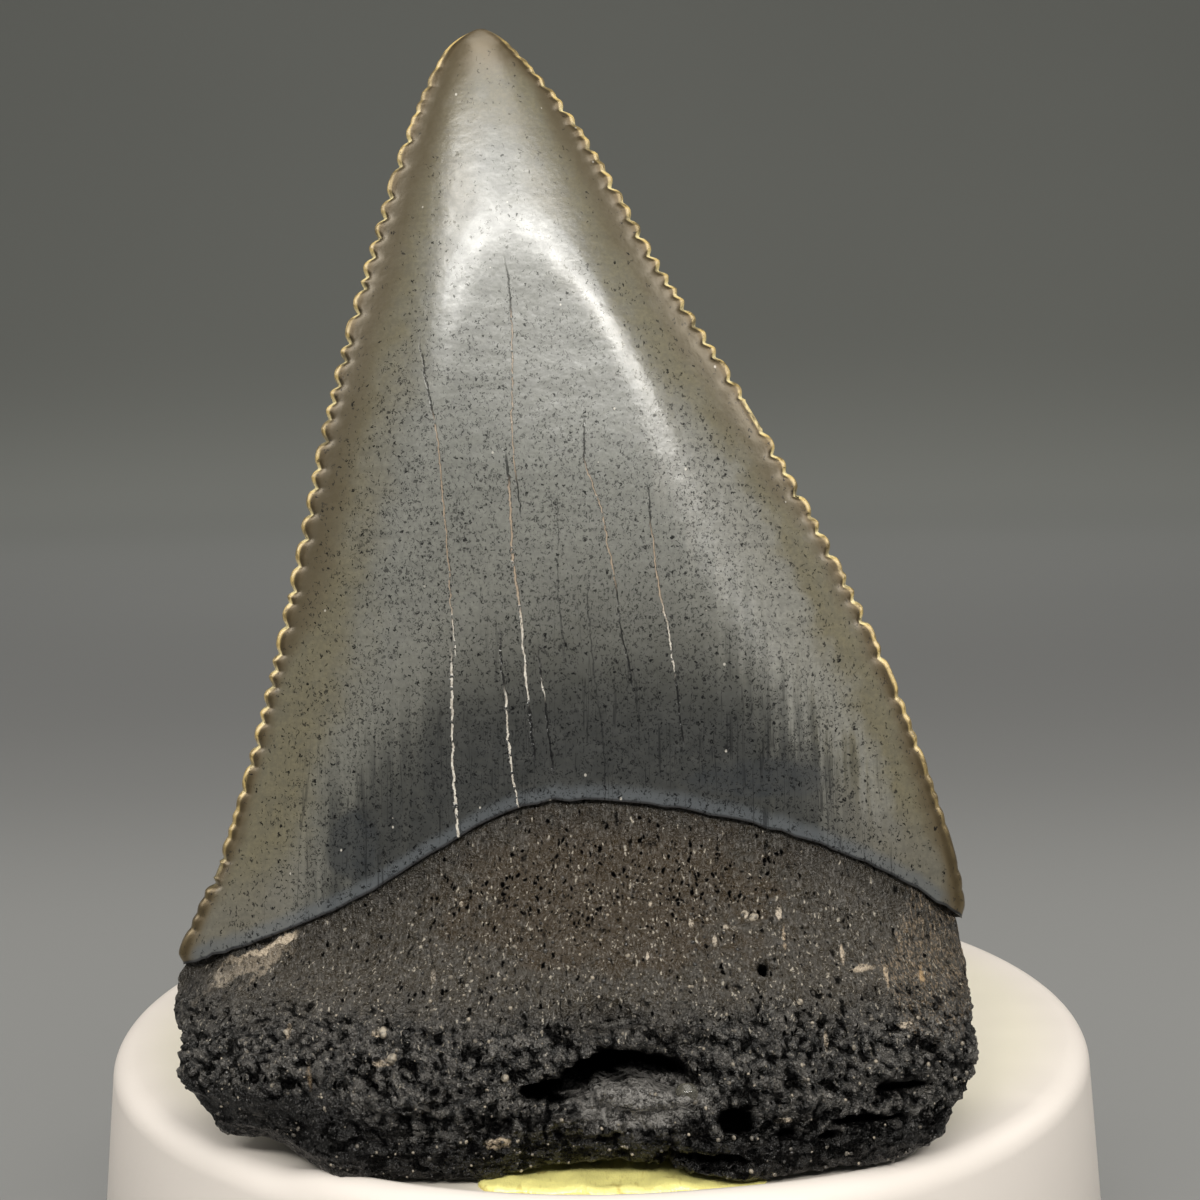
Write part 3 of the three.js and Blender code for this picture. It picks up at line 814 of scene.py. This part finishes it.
root_form, below_enamel, relief_level, cavity_dark = root_mesh()
root_points = np.array([vert.co for vert in root_form.verts])
root_normals = np.array([vert.normal for vert in root_form.verts])
root = make_piece(root_form, "tooth_root", root_stone())
note(root, "below_enamel", below_enamel)
note(root, "relief", relief_level)
note(root, "cavity", cavity_dark)
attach(root, "root")
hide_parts("tooth")


# ==== Sand grains ===============================================================================
# Rounded quartz grains of the old sea bed, pressed into the root's lower half as it turned to
# stone. Most are a tenth of a millimetre or two across; one clear grain sits in the large hole.

GRAIN_COUNT = 520
# Larger grains: x, height in the tooth's upright frame, and radius.
LARGE_GRAINS = (
    (-9.2, 5.3, 0.24), (-8.9, 4.2, 0.22), (-13.3, 5.3, 0.18), (-4.3, 3.4, 0.18), (8.4, 6.4, 0.16),
    (6.3, 9.7, 0.2)
)
CLEAR_GRAIN = (3.4, 2.95, 0.4)


GRAIN_DARK = (0.03, 0.028, 0.025, 1)
GRAIN_PALE = (0.32, 0.275, 0.21, 1)
GRAIN_DIRT = (0.03, 0.027, 0.023, 1)
CLEAR_GREY = (0.50, 0.48, 0.40, 1)
CLEAR_BROWN = (0.24, 0.22, 0.17, 1)


def grain_material():
    material, shader, place = new_material("quartz_grains")
    tone = vertex_note(place, "tone")
    spot = upright_place(place)[0]
    dirt = ramp(clouds(spot, 5, 3), 0.42, 0.62, 0, 0.8)
    finish(
        shader,
        Base_Color=layered(GRAIN_DARK, (ramp(tone, 0.2, 1.0), GRAIN_PALE), (dirt, GRAIN_DIRT)),
        Roughness=ramp(tone, 0, 1, 0.25, 0.45),
        Normal=relief(clouds(spot, 7, 3), 0.00006, 0.9),
    )
    return material


def clear_grain_material():
    material, shader, place = new_material("clear_quartz")
    spot = upright_place(place)[0]
    finish(
        shader,
        Transmission_Weight=0.85,
        Base_Color=tint(ramp(clouds(spot, 4, 2), 0.4, 0.7), CLEAR_GREY, CLEAR_BROWN),
        Roughness=0.12,
        Normal=relief(clouds(spot, 5, 2), 0.00003, 0.6),
    )
    return material


def grain_lying_on(place, normal, radius, rng):
    """Matrix of a worn grain, sunk by a third into the surface at a place."""
    turn = Euler(rng.rand(3) * 6).to_matrix().to_4x4()
    long, flat = 0.8 + 0.5 * rng.rand(), 0.7 + 0.4 * rng.rand()
    shape = Matrix.Diagonal((radius * long, radius, radius * flat, 1))
    return Matrix.Translation(Vector(place) - Vector(normal) * radius * 0.35) @ turn @ shape


def grains_mesh():
    rng = np.random.RandomState(11)
    eligible = (root_normals[:, 1] < -0.25) & (below_enamel > 2.5) & (cavity_dark < 0.05)
    eligible &= root_points[:, 2] > PLINTH_TOP + 0.3
    weight = smoothstep(below_enamel, 2.5, 6.5) * relief_level * eligible
    chosen = rng.choice(len(weight), GRAIN_COUNT, replace=False, p=weight / weight.sum())
    grains = [(k, 0.045 + 0.075 * rng.rand() ** 2, rng.rand()) for k in chosen]
    for x, z, radius in LARGE_GRAINS:
        grains.append((nearest_on_root(x, z), radius, 1.0))
    bm = bmesh.new()
    tones = []
    for start in range(0, len(grains), 40):
        handful = bmesh.new()
        for k, radius, tone in grains[start:start + 40]:
            matrix = grain_lying_on(root_points[k], root_normals[k], radius, rng)
            made = bmesh.ops.create_icosphere(handful, subdivisions=2, radius=1, matrix=matrix)
            tones += [tone] * len(made["verts"])
        poured = bpy.data.meshes.new("handful")
        handful.to_mesh(poured)
        handful.free()
        bm.from_mesh(poured)
        bpy.data.meshes.remove(poured)
    return bm, tones


def nearest_on_root(x, z):
    """A front vertex of the root at a place of the tooth's upright frame, not one on a spike."""
    standing = root_points - np.array((0, TOOTH_Y, PLINTH_TOP))
    height = standing[:, 2] * math.cos(TOOTH_LEAN) + standing[:, 1] * math.sin(TOOTH_LEAN)
    away = np.hypot(standing[:, 0] - x, height - z) + 5 * (standing[:, 1] > 0)
    closest = np.argsort(away)[:24]
    return int(closest[np.argsort(root_points[closest, 1])[8]])


grains_form, tones = grains_mesh()
grains = make_piece(grains_form, "sand_grains", grain_material())
note(grains, "tone", tones)
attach(grains, "root")
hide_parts("tooth")

clear_form = bmesh.new()
seat = nearest_on_root(*CLEAR_GRAIN[:2])
seat_place = root_points[seat] + np.array((0, -0.3, 0.1))
seat_matrix = grain_lying_on(
    seat_place, root_normals[seat], CLEAR_GRAIN[2], np.random.RandomState(4)
)
bmesh.ops.create_icosphere(clear_form, subdivisions=4, radius=1, matrix=seat_matrix)
for vert in clear_form.verts:
    vert.co += 0.07 * noise.noise_vector(vert.co * 2.2)
clear_grain = make_piece(clear_form, "clear_grain", clear_grain_material())
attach(clear_grain, "root")
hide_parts("tooth")


# ==== Crown =====================================================================================
# The enamel blade: a thick glossy skin over the tooth's core, grey-blue with olive flanks, cut by
# long shrinkage cracks, some filled with pale mineral. Both edges carry rounded serrations.

FRONT_COLUMNS, BACK_COLUMNS = 76, 44
CROWN_ROWS, LIP_ROWS = 820, 5
TIP_ROUND = 1.0
NOTCH_HALF = 0.23
# The notches between the serrations: distance from the tip along the edge, and depth.
LEFT_NOTCHES = (
    (2.45, 0.06), (3.4, 0.14), (4.1, 0.1), (4.7, 0.14), (5.3, 0.08), (6.1, 0.27), (7.35, 0.27),
    (8.85, 0.3), (9.85, 0.32), (10.8, 0.32), (11.7, 0.32), (12.65, 0.28), (13.2, 0.34),
    (14.4, 0.34), (15.8, 0.34), (16.65, 0.35), (17.8, 0.33), (18.6, 0.28), (19.4, 0.25),
    (20.4, 0.35), (21.7, 0.25), (22.6, 0.3), (23.8, 0.33), (24.95, 0.34), (26.25, 0.25),
    (27.4, 0.3), (28.0, 0.2), (29.05, 0.3), (30.35, 0.25), (31.1, 0.25), (31.85, 0.3), (32.8, 0.25),
    (33.55, 0.22), (34.65, 0.3), (35.55, 0.2), (36.8, 0.15), (37.7, 0.08), (38.35, 0.1),
    (39.0, 0.1), (40.0, 0.24), (41.2, 0.34), (41.95, 0.1), (42.75, 0.08), (43.45, 0.1),
)
RIGHT_NOTCHES = (
    (1.3, 0.05), (1.85, 0.1), (2.45, 0.06), (2.9, 0.13), (3.7, 0.19), (4.4, 0.1), (5.1, 0.27),
    (5.95, 0.18), (6.6, 0.1), (7.25, 0.24), (7.9, 0.12), (8.5, 0.15), (9.3, 0.3), (10.15, 0.16),
    (11.0, 0.27), (11.9, 0.3), (12.9, 0.32), (13.7, 0.33), (14.45, 0.28), (15.1, 0.2), (15.8, 0.3),
    (16.75, 0.28), (17.65, 0.28), (18.45, 0.26), (19.7, 0.28), (20.65, 0.22), (22.5, 0.22),
    (23.65, 0.33), (24.65, 0.24), (25.75, 0.34), (26.95, 0.22), (27.75, 0.27), (28.85, 0.33),
    (29.85, 0.1), (30.45, 0.27), (31.25, 0.25), (32.25, 0.34), (33.4, 0.08), (34.1, 0.22),
    (36.1, 0.17), (36.95, 0.1), (37.75, 0.1), (38.5, 0.14), (39.9, 0.08), (40.7, 0.07), (41.4, 0.1),
    (42.3, 0.06), (44.45, 0.07), (45.4, 0.07),
)
# Where the serrations are worn away: start, end and depth.
LEFT_WORN, RIGHT_WORN = (40.1, 41.1, 0.18), (20.7, 22.5, 0.16)


def notch_bite(z, edge, shoulder_z, notches, worn):
    """How deep the notches bite into a cutting edge, read by height."""
    heights = np.linspace(TIP_Z, shoulder_z, 800)
    steps = np.hypot(np.diff(edge(heights)), np.diff(heights))
    length = np.interp(-z, -heights, np.concatenate(([0], np.cumsum(steps))))
    start, end, depth = worn
    bite = depth * smoothstep(length, start, start + 0.2) * smoothstep(-length, -end, 0.2 - end)
    for at, depth in notches:
        bite = np.maximum(bite, depth * np.exp(-((np.abs(length - at) / NOTCH_HALF) ** 1.4)))
    return bite


def crown_mesh():
    around = FRONT_COLUMNS + BACK_COLUMNS
    bm = bmesh.new()
    bmesh.ops.create_cone(
        bm, cap_ends=True, cap_tris=False, segments=around, radius1=1, radius2=1, depth=1
    )
    upright = [e for e in bm.edges if abs(e.verts[0].co.z - e.verts[1].co.z) > 0.5]
    bmesh.ops.subdivide_edges(bm, edges=upright, cuts=CROWN_ROWS + LIP_ROWS - 1, use_grid_fill=True)
    u, v, w = places(bm)
    column = np.round((np.arctan2(v, u) / math.pi + 1) / 2 * around) % around
    front = column <= FRONT_COLUMNS
    share = np.where(front, column / FRONT_COLUMNS, (around - column) / BACK_COLUMNS)
    share = lerp(share, 0.5 - 0.5 * np.cos(math.pi * share), 0.85)
    row = np.round((0.5 - w) * (CROWN_ROWS + LIP_ROWS))
    down = np.minimum(row / CROWN_ROWS, 1)
    lip = np.maximum(row - CROWN_ROWS, 0) / LIP_ROWS

    left_z = lerp(TIP_Z, LEFT_SHOULDER[1], down)
    right_z = lerp(TIP_Z, RIGHT_SHOULDER[1], down)
    left_x, right_x = left_edge(left_z), right_edge(right_z)
    tip = np.clip((TIP_Z - left_z) / TIP_ROUND, 0.002, 1)
    cap = np.sqrt(tip * (2 - tip))
    x = lerp(left_x, right_x, 0.5 + (share - 0.5) * cap)
    base_x = lerp(LEFT_SHOULDER[0], RIGHT_SHOULDER[0], share)
    base_z = lerp(LEFT_SHOULDER[1], RIGHT_SHOULDER[1], share)
    border = np.where(front, front_border(base_x), back_border(base_x))
    waves = [noise.fractal(Vector((at * 1.3, 5.0, 2.0)), 0.8, 2.0, 3) for at in base_x]
    border += 0.12 * np.array(waves)
    z = lerp(left_z, right_z, share) + (border - base_z) * down**2
    from_left, from_right = edge_distances(x, z)
    nearest = np.minimum(from_left, from_right)
    depth = np.where(front, crown_front(x, z), crown_back(x, z)) * cap
    on_edge = (column == 0) | (column == FRONT_COLUMNS)

    is_left = from_left < from_right
    left_at, right_at = z + 0.31 * from_left, z + 0.49 * from_right
    left_bite = notch_bite(left_at, left_edge, LEFT_SHOULDER[1], LEFT_NOTCHES, LEFT_WORN)
    right_bite = notch_bite(right_at, right_edge, RIGHT_SHOULDER[1], RIGHT_NOTCHES, RIGHT_WORN)
    bite = np.where(is_left, left_bite, right_bite)
    near = np.exp(-((nearest / 0.5) ** 2))
    reach = (0.04 - bite) * near * smoothstep(TIP_Z - z, 0, 0.6)
    x = x + reach * np.where(is_left, -0.95, 0.87)
    z = z + reach * np.where(is_left, 0.31, 0.49)
    depth = depth - 0.15 * bite * near * np.minimum(depth / 0.3, 1)
    curled = (1 - np.cos(lip * math.pi / 2)) * np.minimum(1, 1.2 / np.maximum(depth, 0.3))
    depth = depth * (1 - 0.75 * curled)
    z = z - 0.08 * np.sin(lip * math.pi / 2)
    depth = np.where(on_edge, 0, depth)
    y = np.where(front, -depth, depth)
    stand_tooth(bm, x, y, z)
    return bm, nearest, z - border, bite * near / 0.3


ENAMEL_PALE = (0.185, 0.187, 0.162, 1)
ENAMEL_GREY = (0.150, 0.147, 0.122, 1)
ENAMEL_OLIVE = (0.148, 0.128, 0.072, 1)
ENAMEL_DARK = (0.028, 0.028, 0.020, 1)
ENAMEL_SLATE = (0.009, 0.012, 0.014, 1)
ENAMEL_BLUE = (0.085, 0.096, 0.105, 1)
ENAMEL_BAND = (0.13, 0.10, 0.052, 1)
ENAMEL_AMBER = (0.64, 0.46, 0.16, 1)
# Painted glow of light through the thin edge, palest in the notches.
ENAMEL_GLOW_GOLD = (0.92, 0.78, 0.40, 1)
SPECK_BLACK = (0.008, 0.008, 0.009, 1)
CORE_DARK = (0.014, 0.015, 0.013, 1)
# Painted highlight for the lower flanks.
FLANK_HIGHLIGHT = (0.225, 0.22, 0.19, 1)
CORNER_GREY = (0.13, 0.122, 0.102, 1)
# Painted highlight for the arched ridge.
RIDGE_HIGHLIGHT = (0.34, 0.34, 0.32, 1)
TIP_BROWN = (0.15, 0.105, 0.05, 1)
LOBE_BROWN = (0.13, 0.092, 0.04, 1)
# Painted shadow for the line along the enamel's lowest edge.
BORDER_SHADOW_BLACK = (0.006, 0.006, 0.007, 1)
CRACK_TAN = (0.34, 0.26, 0.18, 1)
CRACK_CREAM = (0.62, 0.58, 0.50, 1)
CRACK_DIRT = (0.16, 0.12, 0.08, 1)

# Long cracks: half-width, the heights between which pale mineral fills it, and (height, x)
# points from top to bottom.
CRACKS = (
    (0.05, 32, 0, (35.4, -7.63), (34.3, -7.47), (32.1, -7.06), (30.5, -6.78), (27.0, -6.53),
     (25.1, -6.39), (23.5, -6.32), (21.0, -6.12)),
    (0.08, 22, 0, (21.8, -6.37), (20.6, -6.31), (19.3, -6.3), (15.6, -6.28), (14.6, -6.2),
     (12.9, -6.09)),
    (0.045, 36.5, 28.5, (38.86, -3.79), (36.9, -3.55), (34.8, -3.46), (31.8, -3.5), (30.2, -3.48),
     (28.5, -3.31), (27.1, -3.16)),
    (0.075, 29, 18.6, (30.5, -3.94), (28.9, -3.7), (27.3, -3.63), (25.9, -3.59), (22.95, -3.26),
     (21.6, -3.15), (19.3, -2.98), (16.4, -2.7)),
    (0.07, 19.9, 0, (22.6, -4.32), (21.9, -4.13), (20.6, -4.12), (19.1, -3.93), (17.3, -3.87),
     (15.6, -3.65), (14.3, -3.45)),
    (0.05, 20.3, 18.8, (21.8, -2.55), (20.6, -2.44), (19.3, -2.26), (17.5, -2.1), (15.9, -1.92)),
    (0.05, 29.8, 23.6, (31.9, -0.26), (29.8, -0.35), (28.6, -0.07), (27.3, 0.37), (25.4, 0.67),
     (23.6, 0.97), (22.0, 1.14), (20.8, 1.39), (19.5, 1.62)),
    (0.055, 27, 19.7, (28.9, 2.38), (27.6, 2.46), (25.8, 2.59), (23.5, 2.88), (22.1, 3.19),
     (20.7, 3.37), (19.4, 3.54), (18.1, 3.65), (17.0, 3.81)),
    (0.035, 0, 0, (28.6, -1.55), (26.2, -1.56), (23.7, -1.57), (21.6, -1.39), (20.9, -1.34)),
    (0.04, 0, 0, (24.8, -0.4), (22.9, -0.27), (20.8, -0.13), (19.1, 0.07), (17.2, 0.3),
     (14.9, 0.35)),
    (0.04, 0, 0, (46.44, -3.16), (46.2, -3.4), (46.0, -3.61)),
)
# A painted highlight along the top of the arched ridge: x and height along it.
ARCH_HIGHLIGHT = (
    (-6.5, 36.6), (-5.8, 38.5), (-4.3, 40.1), (-2.7, 40.2), (-1.5, 39.5), (-0.6, 38.3), (1.1, 35.7)
)

enamel_specks = fleck_group("Enamel specks", "2D")


def enamel():
    material, shader, place = new_material("fossil_enamel")
    spot, x, y, z = upright_place(place)
    edge, above, notch = (vertex_note(place, name) for name in ("from_edge", "above_root", "notch"))
    inner = ramp(y, 0.3, -0.3)
    flat = add_node(x, "ShaderNodeCombineXYZ", X=plus(x, times(inner, 40)), Y=z).outputs["Vector"]
    mottled = clouds(spot, 1.6, 4, 0.6)
    grainy = clouds(flat, 5.5, 2, 0.7)
    wander = ramp(clouds(spot, 0.45, 3, 0.6), 0.2, 0.8, -0.6, 0.6)

    # Grey-blue with a dark core that starts over the root, olive flanks, and painted highlights on
    # the lower flanks and along the arched ridge.
    core_limit = plus(ramp_straight(z, 16, 27, 2.8, 5.2), ramp(x, -4, -8, 0, 2.0))
    core_limit = plus(core_limit, ramp(x, 2, 6, 0, 1.0))
    strands = clouds(stretch(flat, (1.6, 0.1, 1)), 1.0, 3, 0.6)
    strands = ramp_straight(strands, 0.3, 0.7, -1.6, 1.6)
    edge_wander = plus(edge, wander)
    core_depth = plus(minus(edge_wander, core_limit), strands)
    dark_base = times(ramp(plus(above, wander), 12, 3), ramp(core_depth, -1.2, 3.4))
    slate = oval(x, z, 7.3, 15.5, 3.4, 0.9, times(wander, 0.7))
    slate = most(slate, oval(x, z, -10.6, 13.0, 1.4, 1.7, wander))
    flank = times(ramp(edge_wander, 1.6, 3.0), ramp(core_depth, 1.0, -1.0))
    # Painted highlight on the lower flanks, mostly on the right, where the light falls broadly
    # across them.
    right_flank = times(ramp(x, 0, 2), ramp(z, 34, 29))
    left_flank = times(ramp(x, -5, -8, 0, 0.35), ramp(z, 36, 33), ramp(z, 24, 27))
    flank_highlight = times(most(right_flank, left_flank), flank, ramp(above, 0.5, 2.5, 0, 0.85))
    corners = times(ramp(above, 4.5, 1.5), ramp(edge, 6, 3.5))
    # Painted highlight along the top of the arched ridge.
    arch_highlight = times(drawn_line(x, z, ARCH_HIGHLIGHT, 1.0, 0.8), inner)
    growth = clouds(stretch(flat, (0.12, 2.4, 1)), 1.0, 3, 0.6)
    brown_tip = ramp(z, 46.5, 49.6, 0, 0.7)
    colour = layered(
        ENAMEL_GREY,
        (ramp(plus(z, wander), 18, 31), ENAMEL_PALE),
        (dark_base, ENAMEL_DARK),
        (times(dark_base, ramp(z, 22, 17)), CORE_DARK),
        (times(slate, 0.85), ENAMEL_SLATE),
        (ramp(edge_wander, 5.0, 2.2, 0, 0.9), ENAMEL_OLIVE),
        (flank_highlight, FLANK_HIGHLIGHT),
        (times(corners, 0.6), CORNER_GREY),
        (times(arch_highlight, 0.6), RIDGE_HIGHLIGHT),
        (ramp(mottled, 0.4, 0.75, 0, 0.28), ENAMEL_DARK),
        (ramp(growth, 0.45, 0.7, 0, 0.16), ENAMEL_DARK),
        (ramp(grainy, 0.62, 0.4, 0, 0.22), ENAMEL_DARK),
        (ramp(above, 0.9, 0.3, 0, 0.6), ENAMEL_BLUE),
        (brown_tip, TIP_BROWN),
    )

    # The cutting edges: a brown band, browner lobes, and an amber rim on the serrations with a
    # painted glow of light shining through the thin edge, palest in the notches.
    left_band = times(ramp(x, -3, -5), ramp(z, 20, 24, 0, 1.2))
    right_band = times(ramp(x, -3, -1), ramp(z, 25, 30, 0, 0.8))
    band_width = plus(plus(left_band, right_band), 1.0)
    band_place = calculate("DIVIDE", plus(edge, times(wander, 0.4)), band_width)
    band = ramp(band_place, 1.25, 0.4)
    lobes = ramp(edge, 0.8, 0.35, 0, 0.9)
    warm = most(times(band, 0.45), times(brown_tip, 0.45), times(lobes, 0.8))
    # The rim: amber enamel with a painted glow of light shining through the thin edge, paler gold
    # in the notches.
    rim = ramp(minus(edge, times(notch, 0.1)), 0.3, 0.16)
    rim_patches = ramp(clouds(spot, 1.8, 3), 0.38, 0.56, 0.35, 1)
    rim = times(rim, rim_patches, ramp(above, 2, 9, 0.08, 1))
    warm = times(warm, minus(1, rim))
    colour = layered(
        colour,
        (times(band, 0.85), ENAMEL_BAND),
        (lobes, LOBE_BROWN),
        (rim, tint(ramp(notch, 0.1, 0.8), ENAMEL_AMBER, ENAMEL_GLOW_GOLD)),
        # Painted shadow line along the enamel's lowest edge, where it steps onto the root.
        (ramp(above, 0.13, 0.05), BORDER_SHADOW_BLACK),
    )

    # Black specks, dots, ticks and fine upright threads, and a few pale dots.
    crowd = times(ramp(edge, 0.5, 5, 0.25, 1), ramp(clouds(spot, 0.5, 3), 0.3, 0.6, 0.45, 1))
    crowd = times(crowd, ramp(z, 41, 27, 0.2, 1))
    bent = warped(flat, 6, (0.45, 0.45, 0))
    black = 0.0
    for scale, shift, density, share, size, strength in (
        ((1, 0.7, 1), (0, 0, 0), 7.0, 1.0, 0.34, 0.62),
        ((1, 0.8, 1), (3, 7, 0), 3.2, 0.65, 0.22, 0.85),
        ((1.4, 0.5, 1), (5, 3, 0), 4.5, 1.0, 0.3, 0.6),
    ):
        spots = flecks(
            stretch(bent, scale, shift), density, times(crowd, share), size, enamel_specks
        )
        black = most(black, times(spots, strength))
    threads = clouds(stretch(flat, (2.2, 0.06, 1)), 1.0, 2, 0.5)
    threads = ramp(calculate("ABSOLUTE", minus(threads, 0.5)), 0.013, 0.004)
    thread_zone = times(ramp(above, 13, 3), ramp(edge, 1.0, 4))
    thread_breaks = ramp(clouds(stretch(flat, (1.5, 0.5, 1)), 1.0, 3), 0.44, 0.54)
    black = most(black, times(threads, thread_zone, thread_breaks, 0.45))
    pale_dots = flecks(stretch(flat, (1, 0.8, 1), (9, 2, 0)), 1.3, 0.03, 0.09, enamel_specks)
    colour = layered(colour, (black, SPECK_BLACK), (times(pale_dots, 0.7), CRACK_CREAM))

    # The long cracks, dark where they stand open and pale where mineral fills them.
    wandered = plus(x, ramp_straight(clouds(flat, 1.8, 4, 0.65), 0, 1, -0.16, 0.16))
    frayed = clouds(flat, 3.5, 3)
    dirt = ramp(clouds(flat, 5, 2), 0.35, 0.6, 0.5, 0)
    filling = layered(CRACK_CREAM, (ramp(z, 21.5, 24), CRACK_TAN), (dirt, CRACK_DIRT))
    cuts = 0.0
    absorbing = most(black, warm)
    for width, filled_from, filled_to, *points in CRACKS:
        crack = times(drawn_line(z, wandered, points, width), inner)
        crack = times(crack, ramp(frayed, 0.3, 0.45, 0.15, 0.7 if filled_from else 0.45))
        colour = tint(crack, colour, SPECK_BLACK)
        absorbing = most(absorbing, crack)
        if filled_from:
            cuts = most(cuts, crack)
            filled = ramp(z, filled_from, filled_from - 0.8)
            filled = times(filled, ramp(z, filled_to, filled_to + 0.8), ramp(frayed, 0.37, 0.43))
            filled = times(drawn_line(z, wandered, points, width * 0.8), filled, inner)
            colour = tint(filled, colour, filling)
            absorbing = times(absorbing, minus(1, filled))

    skin = relief(clouds(spot, 1.2, 2, 0.5), 0.00008, 0.3)
    skin = relief(grainy, 0.00001, 0.5, skin)
    finish(
        shader,
        Base_Color=colour,
        Metallic=absorbing,
        Roughness=ramp(mottled, 0.3, 0.7, 0.29, 0.35),
        IOR=1.95,
        Normal=relief(minus(1, cuts), 0.00004, 0.8, skin),
    )
    return material


crown_form, from_edge, above_root, notches = crown_mesh()
crown = make_piece(crown_form, "tooth_crown", enamel())
note(crown, "from_edge", from_edge)
note(crown, "above_root", above_root)
note(crown, "notch", notches)
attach(crown, "root")
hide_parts("tooth")


# ==== Table top =================================================================================
# A pale surface that curves up far behind the object, so that no horizon shows, with its light
# falloff painted into its colour.

FLOOR_NEAR = (0.995, 1.0, 0.975, 1)
FLOOR_FAR = (0.99, 1.0, 0.90, 1)
# Painted shade: the black that the pale floor is darkened towards.
FLOOR_SHADE_BLACK = (0, 0, 0, 1)
FLOOR_FRONT, FLOOR_FLAT, FLOOR_CURVE = 900, 1500, 500
FLOOR_LENGTH, FLOOR_WIDTH = 2800, 4000


def floor_finish():
    material, shader, place = new_material("pale_floor")
    back = add_node(place, "ShaderNodeSeparateXYZ", Vector=place).outputs["Y"]
    # Painted light falloff: the pale floor is darkened towards black, most from 0.2 m behind the
    # tooth forward, least at about 0.6 m behind it, and somewhat more again beyond 0.66 m.
    grey = minus(ramp(back, 0.19, 0.62, 0.205, 0.60), ramp(back, 0.66, 0.87, 0, 0.165))
    grey = plus(grey, ramp(back, 0.17, 0.09, 0, 0.035))
    grey = times(grey, ramp(clouds(place, 3, 2), 0.3, 0.7, 1.02, 0.98))
    paper = tint(ramp(back, 0.2, 0.9), FLOOR_NEAR, FLOOR_FAR)
    finish(shader, Base_Color=tint(grey, FLOOR_SHADE_BLACK, paper), Roughness=0.85)
    return material


def floor_mesh():
    bm = bmesh.new()
    bmesh.ops.create_grid(bm, x_segments=2, y_segments=80, size=0.5)
    x, y, z = places(bm)
    run = (y + 0.5) * FLOOR_LENGTH
    turn = np.clip((run - FLOOR_FLAT) / FLOOR_CURVE, 0, math.pi / 2)
    past = np.maximum(run - FLOOR_FLAT - FLOOR_CURVE * math.pi / 2, 0)
    back = np.minimum(run, FLOOR_FLAT) + FLOOR_CURVE * np.sin(turn)
    move_to(bm, x * FLOOR_WIDTH, back - FLOOR_FRONT, FLOOR_CURVE * (1 - np.cos(turn)) + past)
    return bm


floor = make_piece(floor_mesh(), "floor", floor_finish())


# ==== Light =====================================================================================
# Three long soft boxes side by side in front, above the tooth, a weak one overhead, and a dim room.

LIGHT_AIM = Vector((0, -0.010, 0.045))
BOX_WHITE = (1.0, 0.98, 0.94)
KICKER_CREAM = (1.0, 0.95, 0.88)
ROOM_WHITE = (0.95, 0.97, 1.0, 1)
# Name, azimuth and elevation in degrees, distance, width, height, power and colour.
SOFT_BOXES = (
    ("left_box", -35, 38.8, 0.42, 0.25, 0.064, 0.68, BOX_WHITE),
    ("middle_box", -1, 38.8, 0.42, 0.25, 0.064, 0.58, BOX_WHITE),
    ("right_box", 33, 38.8, 0.42, 0.25, 0.064, 0.87, BOX_WHITE),
    ("high_box", 0, 55, 0.40, 0.30, 0.30, 0.35, BOX_WHITE),
    ("overhead_box", 0, 88, 0.45, 0.35, 0.35, 0.7, BOX_WHITE),
    ("left_kicker", -115, 25, 0.35, 0.10, 0.20, 0.19, KICKER_CREAM),
    ("right_kicker", 115, 25, 0.35, 0.10, 0.20, 0.19, KICKER_CREAM),
)

for name, azimuth, elevation, distance, width, height, power, colour in SOFT_BOXES:
    data = bpy.data.lights.new(name, "AREA")
    data.shape = "RECTANGLE"
    data.size, data.size_y = width, height
    data.energy = power
    data.color = colour
    light = bpy.data.objects.new(name, data)
    a, e = math.radians(azimuth), math.radians(elevation)
    away = Vector((math.sin(a) * math.cos(e), -math.cos(a) * math.cos(e), math.sin(e)))
    light.location = LIGHT_AIM + away * distance
    light.rotation_euler = (-away).to_track_quat("-Z", "Y").to_euler()
    bpy.context.collection.objects.link(light)
world = bpy.data.worlds.new("room")
world.use_nodes = True
finish(world.node_tree.nodes["Background"], Color=ROOM_WHITE, Strength=0.15)
bpy.context.scene.world = world
bpy.context.scene.view_settings.view_transform = "Standard"


# ==== Camera ====================================================================================
# Close in front of the tooth, a little above its middle and looking slightly down on it.

CAMERA_PLACE = Vector((0, -0.099443, 0.055706))
CAMERA_AIM = Vector((0.00028, 0, 0.043906))
CAMERA_ROLL = math.radians(-0.86)

camera_data = bpy.data.cameras.new("camera")
camera_data.lens = 58.236
camera_data.sensor_width = 36
camera_data.clip_start = 0.01
camera = bpy.data.objects.new("camera", camera_data)
camera.location = CAMERA_PLACE
camera.rotation_mode = "QUATERNION"
look = (CAMERA_AIM - CAMERA_PLACE).to_track_quat("-Z", "Y")
camera.rotation_quaternion = look @ Quaternion((0, 0, 1), CAMERA_ROLL)
bpy.context.collection.objects.link(camera)
bpy.context.scene.camera = camera
